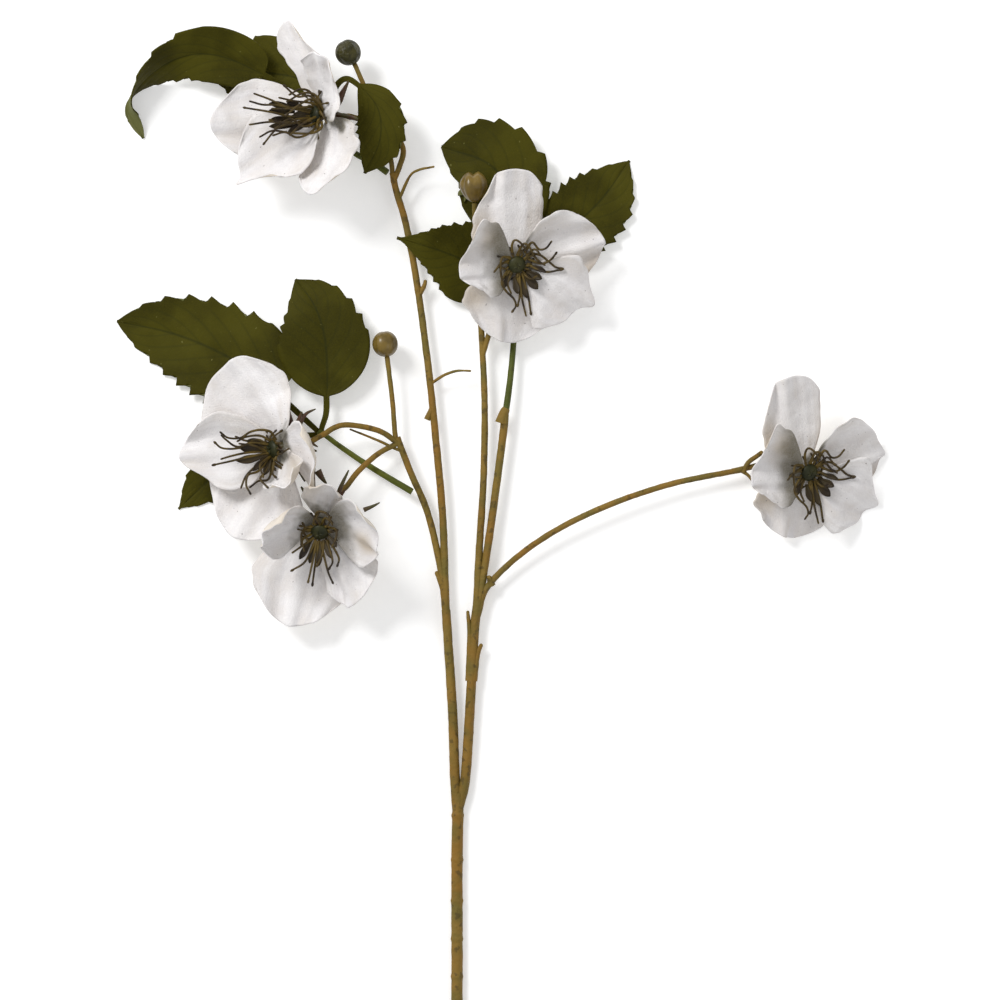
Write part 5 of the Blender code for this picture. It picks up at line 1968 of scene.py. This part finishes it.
    def build(self) -> None:
        """Builds the tuft and hands it over."""
        node = f"stamens_{self.bloom.name}"
        threads = self.form.press(
            strand_mesh(node, self.stamens()),
            Head_Width=self.head_width * MM,
            Seed=self.bloom.seed,
            Material=self.thread,
        )
        pods = strand_mesh("pods", self.pods())
        pods = self.form.press(pods, Head_Width=0.1 * MM, Seed=1, Material=self.skin)
        paddles = [self.paddle(half_width, plan) for half_width, plan in self.plan.paddles]
        mesh = joined(node, [threads, pods, self.dome(), *paddles])
        hand_over(f"bloom_{self.bloom.name}_stamens", mesh, node, Slot.STAMEN)


@dataclass
class CupAndBracts:
    """The cup behind the petals with its pointed bracts."""

    bloom: Bloom
    form: TubeForm
    material: Material

    @staticmethod
    def bract_girth(part: float) -> float:
        """The radius of a bract, which is broad at two fifths of its length and drawn out to a point."""
        wide = 0.3 + 0.5 * part if part < 0.4 else 0.5 - 0.4 * (part - 0.4) / 0.6
        return BRACT_WIDTH * wide * 0.92

    def bracts(self) -> list[Strand]:
        """Lays out the bracts round the cup and the long ones that show past the petals.

        Returns:
            The bracts.
        """
        made = []
        first = self.bloom.first_turn
        for i in range(BRACT_COUNT):
            turn = first + 2.0 * math.pi * (i + 0.5) / BRACT_COUNT
            outward = Vector((math.cos(turn), math.sin(turn), 0.0))
            knots = []
            for part, drop in BRACT_DROP:
                reach = CUP_RADIUS * 0.5 + self.bloom.bract_length * part
                knots.append(self.bloom.frame @ (outward * reach - UP * CUP_HEIGHT * drop))
            made.append(Strand.shaped(SmoothPath(knots).spaced(0.6), self.bract_girth))
        for half_width, knots in LONG_BRACTS.get(self.bloom.name, ()):
            places = SmoothPath(knots).spaced(0.8)
            made.append(Strand.shaped(places, lambda part: half_width * (0.15 + (1.0 - part) ** 0.8)))
        return made

    def cup(self) -> Mesh:
        """Makes the cup with the peg that carries the petals.

        Returns:
            The closed cup.
        """
        profile = [(0.0, -CUP_HEIGHT), (PEDICEL_RADIUS, -CUP_HEIGHT)]
        for out, down in ((0.5, 0.7), (0.8, 0.5), (0.95, 0.35)):
            profile.append((CUP_RADIUS * out, -CUP_HEIGHT * down))
        profile += [(CUP_RADIUS, CUP_TOP - 0.3), (CUP_RADIUS * 0.96, CUP_TOP), (PEG_RADIUS, CUP_TOP)]
        profile += [(PEG_RADIUS, PEG_TOP), (0.0, PEG_TOP)]
        return poured("cup", turned(profile, sides=32), self.bloom.frame, self.material)

    def build(self) -> None:
        """Builds the cup and hands it over."""
        node = f"cup_{self.bloom.name}"
        bracts = strand_mesh("bracts", self.bracts())
        bracts = self.form.press(bracts, Sides=12, Ridges=4, Ridge_Height=0.1 * MM, Material=self.material)
        hand_over(f"bloom_{self.bloom.name}_cup", joined(node, [self.cup(), bracts]), node, Slot.CUP)


@dataclass
class LeafBlade:
    """A leaf with its sunk veins and its teeth, which point forward."""

    leaf: Leaf
    form: BladeForm
    face: Material
    back: Material
    thickness: float = 0.7
    tooth_count: float = 12.0
    tooth_blend: float = 0.78
    tooth_depth: float = 1.55
    tooth_back: float = 0.86
    vein_depth: float = 0.16
    midrib_depth: float = 0.45
    crinkle_height: float = 0.9
    midrib: SmoothPath = field(init=False)

    def __post_init__(self) -> None:
        """Lays the midrib."""
        self.midrib = SmoothPath(self.leaf.midrib)

    def half_width(self, s: float) -> float:
        """Finds the half width without the teeth.

        Args:
            s: The length from 0 to 1.

        Returns:
            The half width in millimetres.
        """
        narrow = 0.5 * LEAF_STALK_WIDTH
        if s <= self.leaf.blade_start:
            return narrow
        u = (s - self.leaf.blade_start) / (1.0 - self.leaf.blade_start)
        power = math.log(0.5) / math.log(self.leaf.peak)
        swell = 0.5 * self.leaf.width * math.sin(math.pi * min(u, 1.0) ** power) ** self.leaf.fullness
        swell *= math.sqrt(max(1.0 - u**9, 0.0))
        return max(swell, narrow * (1.0 - 0.6 * u))

    def tooth(self, s: float) -> float:
        """Finds how much of a tooth's depth is cut away, as a sharp saw.

        Args:
            s: The length from 0 to 1.

        Returns:
            The part that is cut away, from 0 to 1.
        """
        if s < self.leaf.teeth_from:
            return 0.0
        saw = (s * self.tooth_count) % 1.0
        started = min((s - self.leaf.teeth_from) * 12.0, 1.0)
        back = self.tooth_back
        return started * (1.0 - saw / back if saw < back else (saw - back) / (1.0 - back))

    def surface(self, s: float, t: float) -> Vector:
        """Finds a place on the middle surface.

        Args:
            s: The length from 0 to 1.
            t: The width from -1 to 1.

        Returns:
            The place in millimetres.
        """
        leaf = self.leaf
        edge = max((abs(t) - self.tooth_blend) / (1.0 - self.tooth_blend), 0.0) ** 2
        half = self.half_width(s) * (1.0 - leaf.tooth * self.tooth_depth * edge * self.tooth(s))
        middle, ahead = self.midrib.at(s)
        middle = middle - ahead * (STALK_TUCK * max(1.0 - s / 0.05, 0.0))
        facing = (UP - ahead * UP.dot(ahead)).normalized()
        roll = math.radians(leaf.roll[0] + (leaf.roll[1] - leaf.roll[0]) * s**leaf.gather)
        facing = Matrix.Rotation(roll, 3, ahead) @ facing
        side = ahead.cross(facing)
        height = leaf.fold * abs(t) * half + LEAF_WAVE * math.sin(9.0 * s) * t * abs(t)
        return middle + side * (half * (t + leaf.skew * (1.0 - t * t))) + facing * height

    def build(self) -> None:
        """Builds the leaf and hands it over."""
        node = self.leaf.name
        mesh = self.form.press(
            blade_mesh(node, self.surface, LEAF_ROWS, LEAF_COLUMNS, 0.5 * self.thickness),
            Ribs_Along=8.0,
            Ribs_Across=-3.0,
            Rib_Height=-self.vein_depth * MM,
            Rib_Sharpness=8.0,
            Midrib_Height=-self.midrib_depth * MM,
            Midrib_Width=0.07,
            Crinkle_Height=self.crinkle_height * MM,
            Crinkle_Scale=60.0,
            Seed=float(len(node)),
            Material=self.face,
        )
        mesh = thicken(mesh, self.thickness, self.back)
        hand_over(node.replace("leaf", "blade"), mesh, node, Slot.LEAF)


@dataclass
class GreenStalk:
    """A green stalk with the knuckle that its leaves leave from."""

    stalk: LeafStalk
    form: TubeForm
    material: Material
    knuckle: PlanPoints = ((-0.7, 0.0), (-0.2, 0.6), (0.1, 0.9), (0.3, 0.75), (0.5, 0.45))

    def strand(self) -> Strand:
        """Runs the stalk up to its end and swells it there to the knuckle.

        Returns:
            The stalk.
        """
        plain = Strand.tapered(self.stalk.path, LEAF_STALK_RADIUS * 1.35, LEAF_STALK_RADIUS)
        end, ahead = SmoothPath(self.stalk.path).at(1.0)
        below = [(end - place).dot(ahead) > KNUCKLE_LENGTH * 0.8 for place in plain.places]
        places = [place for place, kept in zip(plain.places, below) if kept]
        girths = [girth for girth, kept in zip(plain.girths, below) if kept]
        for run, swell in self.knuckle:
            places.append(end + ahead * KNUCKLE_LENGTH * run)
            girths.append(LEAF_STALK_RADIUS + (KNUCKLE_RADIUS - LEAF_STALK_RADIUS) * swell)
        return Strand(places, girths)

    def build(self) -> None:
        """Builds the stalk and hands it over."""
        node = self.stalk.name
        mesh = self.form.press(
            strand_mesh(node, [self.strand()]),
            Sides=20,
            Ridges=5,
            Ridge_Height=0.1 * MM,
            Lump_Height=0.25 * MM,
            Material=self.material,
        )
        hand_over(node.replace("leaf_stalk", "green_stalk"), mesh, node, Slot.LEAF_STALK)


@dataclass
class ClosedBud:
    """A round closed bud with lobes and seams from its foot to its top."""

    bud: Bud
    material: Material
    segments: int = 64
    rings: int = 40
    lobe_depth: float = 0.06
    seam_depth: float = 0.05

    def shaped(self, point: Vector, length: float) -> Vector:
        """Moves a point of a round ball of radius 1 to its place on the bud.

        Args:
            point: The point.
            length: Half the bud's length in millimetres.

        Returns:
            The place in millimetres, in the bud's own directions.
        """
        bud = self.bud
        turn = math.atan2(point.y, point.x)
        rounded = math.hypot(point.x, point.y)
        seam = abs(math.cos(2.5 * turn)) ** 14
        lobe = 0.5 - 0.5 * math.cos(6.0 * turn)
        width = 1.0 - self.lobe_depth * rounded * lobe - self.seam_depth * seam * rounded
        width *= 1.0 - 0.45 * bud.point * max(-point.z, 0.0)
        cleft = bud.cleft * max(point.z, 0.0) * (1.0 - min(abs(point.x) * 3.0, 1.0))
        across = width * bud.radius
        return Vector((point.x * across, point.y * across, (point.z - cleft) * length))

    def build(self) -> None:
        """Builds the bud and hands it over."""
        bud = self.bud
        axis = Vector(bud.axis).normalized()
        length = bud.radius * (1.0 + 0.2 * bud.point)
        frame = frame_at(Vector(bud.seat) + axis * (length + FIT_GAP), axis)
        bm = bmesh.new()
        bmesh.ops.create_uvsphere(bm, u_segments=self.segments, v_segments=self.rings, radius=1.0)
        for vert in bm.verts:
            vert.co = self.shaped(vert.co, length)
        hand_over("closed_" + bud.name, poured(bud.name, bm, frame, self.material), bud.name, Slot.BUD)


@dataclass
class SprayStem:
    """The whole stem with its scars, forks, twigs, tendrils and pedicels."""

    blooms: Sequence[Bloom]
    form: TubeForm
    material: Material
    main_step: float = 0.7
    scar_half: float = 1.4
    scar_swell: float = 0.14

    def main(self) -> Strand:
        """Runs the thick lower stem with its raised scars and its plain cut end.

        Returns:
            The main stem.
        """
        path = SmoothPath(MAIN_STEM)
        count = int(path.length / self.main_step)

        def girth(part: float) -> float:
            """The radius at a part of the length, larger on a scar."""
            near = min(abs(part - scar) * path.length / self.scar_half for scar in MAIN_SCARS)
            return MAIN_RADIUS * (1.0 + self.scar_swell * max(1.0 - near, 0.0))

        return Strand.shaped([path.at(k / count)[0] for k in range(count + 1)], girth)

    def strands(self) -> list[Strand]:
        """Runs all parts of the stem.

        Returns:
            The parts.
        """
        made = [self.main()]
        for knots, root, end in (
            (LEFT_FORK, FORK_RADIUS, BRANCH_RADIUS * 1.15),
            (RIGHT_FORK, FORK_RADIUS, BRANCH_RADIUS * 1.2),
            (INNER_BRANCH, BRANCH_RADIUS, BRANCH_RADIUS * 0.85),
            (OUTER_BRANCH, BRANCH_RADIUS * 0.9, BRANCH_RADIUS * 0.85),
            (CENTRE_BRANCH, BRANCH_RADIUS, TWIG_RADIUS * 0.9),
            (LEAF_BRANCH, BRANCH_RADIUS, BRANCH_RADIUS),
            (RIGHT_ARC, TWIG_RADIUS * 1.1, TWIG_RADIUS),
        ):
            made.append(Strand.tapered(knots, root, end))
        for twig in TWIGS:
            made.append(Strand.tapered(twig.path, twig.radius, twig.radius * twig.taper, round_end=True))
        by_name = {bloom.name: bloom for bloom in self.blooms}
        for pedicel in PEDICELS:
            bloom = by_name[pedicel.bloom]
            ends = [bloom.along_axis(-CUP_HEIGHT - run) for run in (4.5, 2.0, FIT_GAP)]
            made.append(Strand.tapered([*pedicel.path, *ends], PEDICEL_RADIUS, PEDICEL_RADIUS))
        return made

    def build(self) -> None:
        """Builds the stem and hands it over."""
        mesh = self.form.press(
            strand_mesh("stem", self.strands()),
            Sides=STEM_SIDES,
            Ridges=5,
            Ridge_Height=0.07 * MM,
            Lump_Height=0.5 * MM,
            Lump_Scale=260.0,
            Material=self.material,
        )
        hand_over("spray_stem", laid_down(mesh), "stem", Slot.STEM)


@dataclass
class Softbox:
    """A square lamp that looks at the spray."""

    name: str
    place: Point
    size: float
    power: float

    def hang(self, aim: Vector) -> None:
        """Hangs the lamp.

        Args:
            aim: The place that it is turned to.
        """
        lamp = bpy.data.lights.new(self.name, "AREA")
        lamp.shape = "SQUARE"
        lamp.size = self.size
        lamp.energy = self.power
        obj = linked(self.name, lamp)
        obj.location = self.place
        obj.rotation_euler = (aim - Vector(self.place)).to_track_quat("-Z", "Y").to_euler()


@dataclass
class Studio:
    """The pale table, the lamps, the pale surroundings and the camera straight above, in metres."""

    table_top: Material
    camera_place: Point = (0.0, 0.0297, 3.145)
    lens: float = 250.0
    sky: float = 0.55
    table_half: float = 3.0
    lamps: tuple[Softbox, ...] = field(
        default_factory=lambda: (
            Softbox("key", (-1.1, 1.2, 1.5), 0.7, 34.0),
            Softbox("fill", (1.3, -0.6, 1.8), 1.4, 6.0),
        )
    )

    def table(self) -> None:
        """Lays the table under the spray."""
        half = self.table_half
        corners = [(-half, -half, 0.0), (half, -half, 0.0), (half, half, 0.0), (-half, half, 0.0)]
        mesh = bpy.data.meshes.new("pale_table")
        mesh.from_pydata(corners, [], [(0, 1, 2, 3)])
        mesh.materials.append(self.table_top)
        linked("pale_table", mesh)

    def light(self) -> None:
        """Sets the surroundings and hangs the lamps."""
        world = bpy.data.worlds.new("pale_surroundings")
        world.use_nodes = True
        board = Board(world.node_tree)
        sky = world.node_tree.nodes["Background"]
        board.feed(sky, "Color", (1.0, 1.0, 1.0))
        board.feed(sky, "Strength", self.sky)
        bpy.context.scene.world = world
        for lamp in self.lamps:
            lamp.hang(Vector((0.0, self.camera_place[1], 0.0)))

    def camera(self) -> None:
        """Sets the camera straight above."""
        data = bpy.data.cameras.new("overhead")
        data.lens = self.lens
        data.sensor_width = 36.0
        data.clip_end = 20.0
        obj = linked("overhead", data)
        obj.location = self.camera_place
        bpy.context.scene.camera = obj
        bpy.context.scene.view_settings.view_transform = "Standard"

    def build(self) -> None:
        """Sets up the studio."""
        self.table()
        self.light()
        self.camera()


def main() -> None:
    """Builds the spray's pieces in order and the studio round them."""
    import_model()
    shared = Shared()
    finishes = {finish.name: finish.make(shared) for finish in FINISHES}
    tuft_finishes = [finishes[name] for name in ("stamen_thread", "nectary_skin", "seed_dome")]
    tubes, blades, tufts = TubeForm(), BladeForm(), TuftForm()
    SprayStem(BLOOMS, tubes, finishes["stem_bark"]).build()
    for stalk in LEAF_STALKS:
        GreenStalk(stalk, tubes, finishes["green_stalk_skin"]).build()
    for leaf in LEAVES:
        LeafBlade(leaf, blades, finishes["leaf_face"], finishes["leaf_back"]).build()
    for bud in BUDS:
        ClosedBud(bud, finishes[bud.finish]).build()
    for bloom in BLOOMS:
        CupAndBracts(bloom, tubes, finishes["cup_skin"]).build()
        PetalRing(bloom, blades, finishes["petal_cloth"], finishes["petal_cloth_back"]).build()
        StamenTuft(bloom, tufts, *tuft_finishes).build()
    Studio(finishes["pale_table"]).build()


if __name__ == "__main__":
    logging.basicConfig(level=logging.INFO, format="%(message)s")
    main()
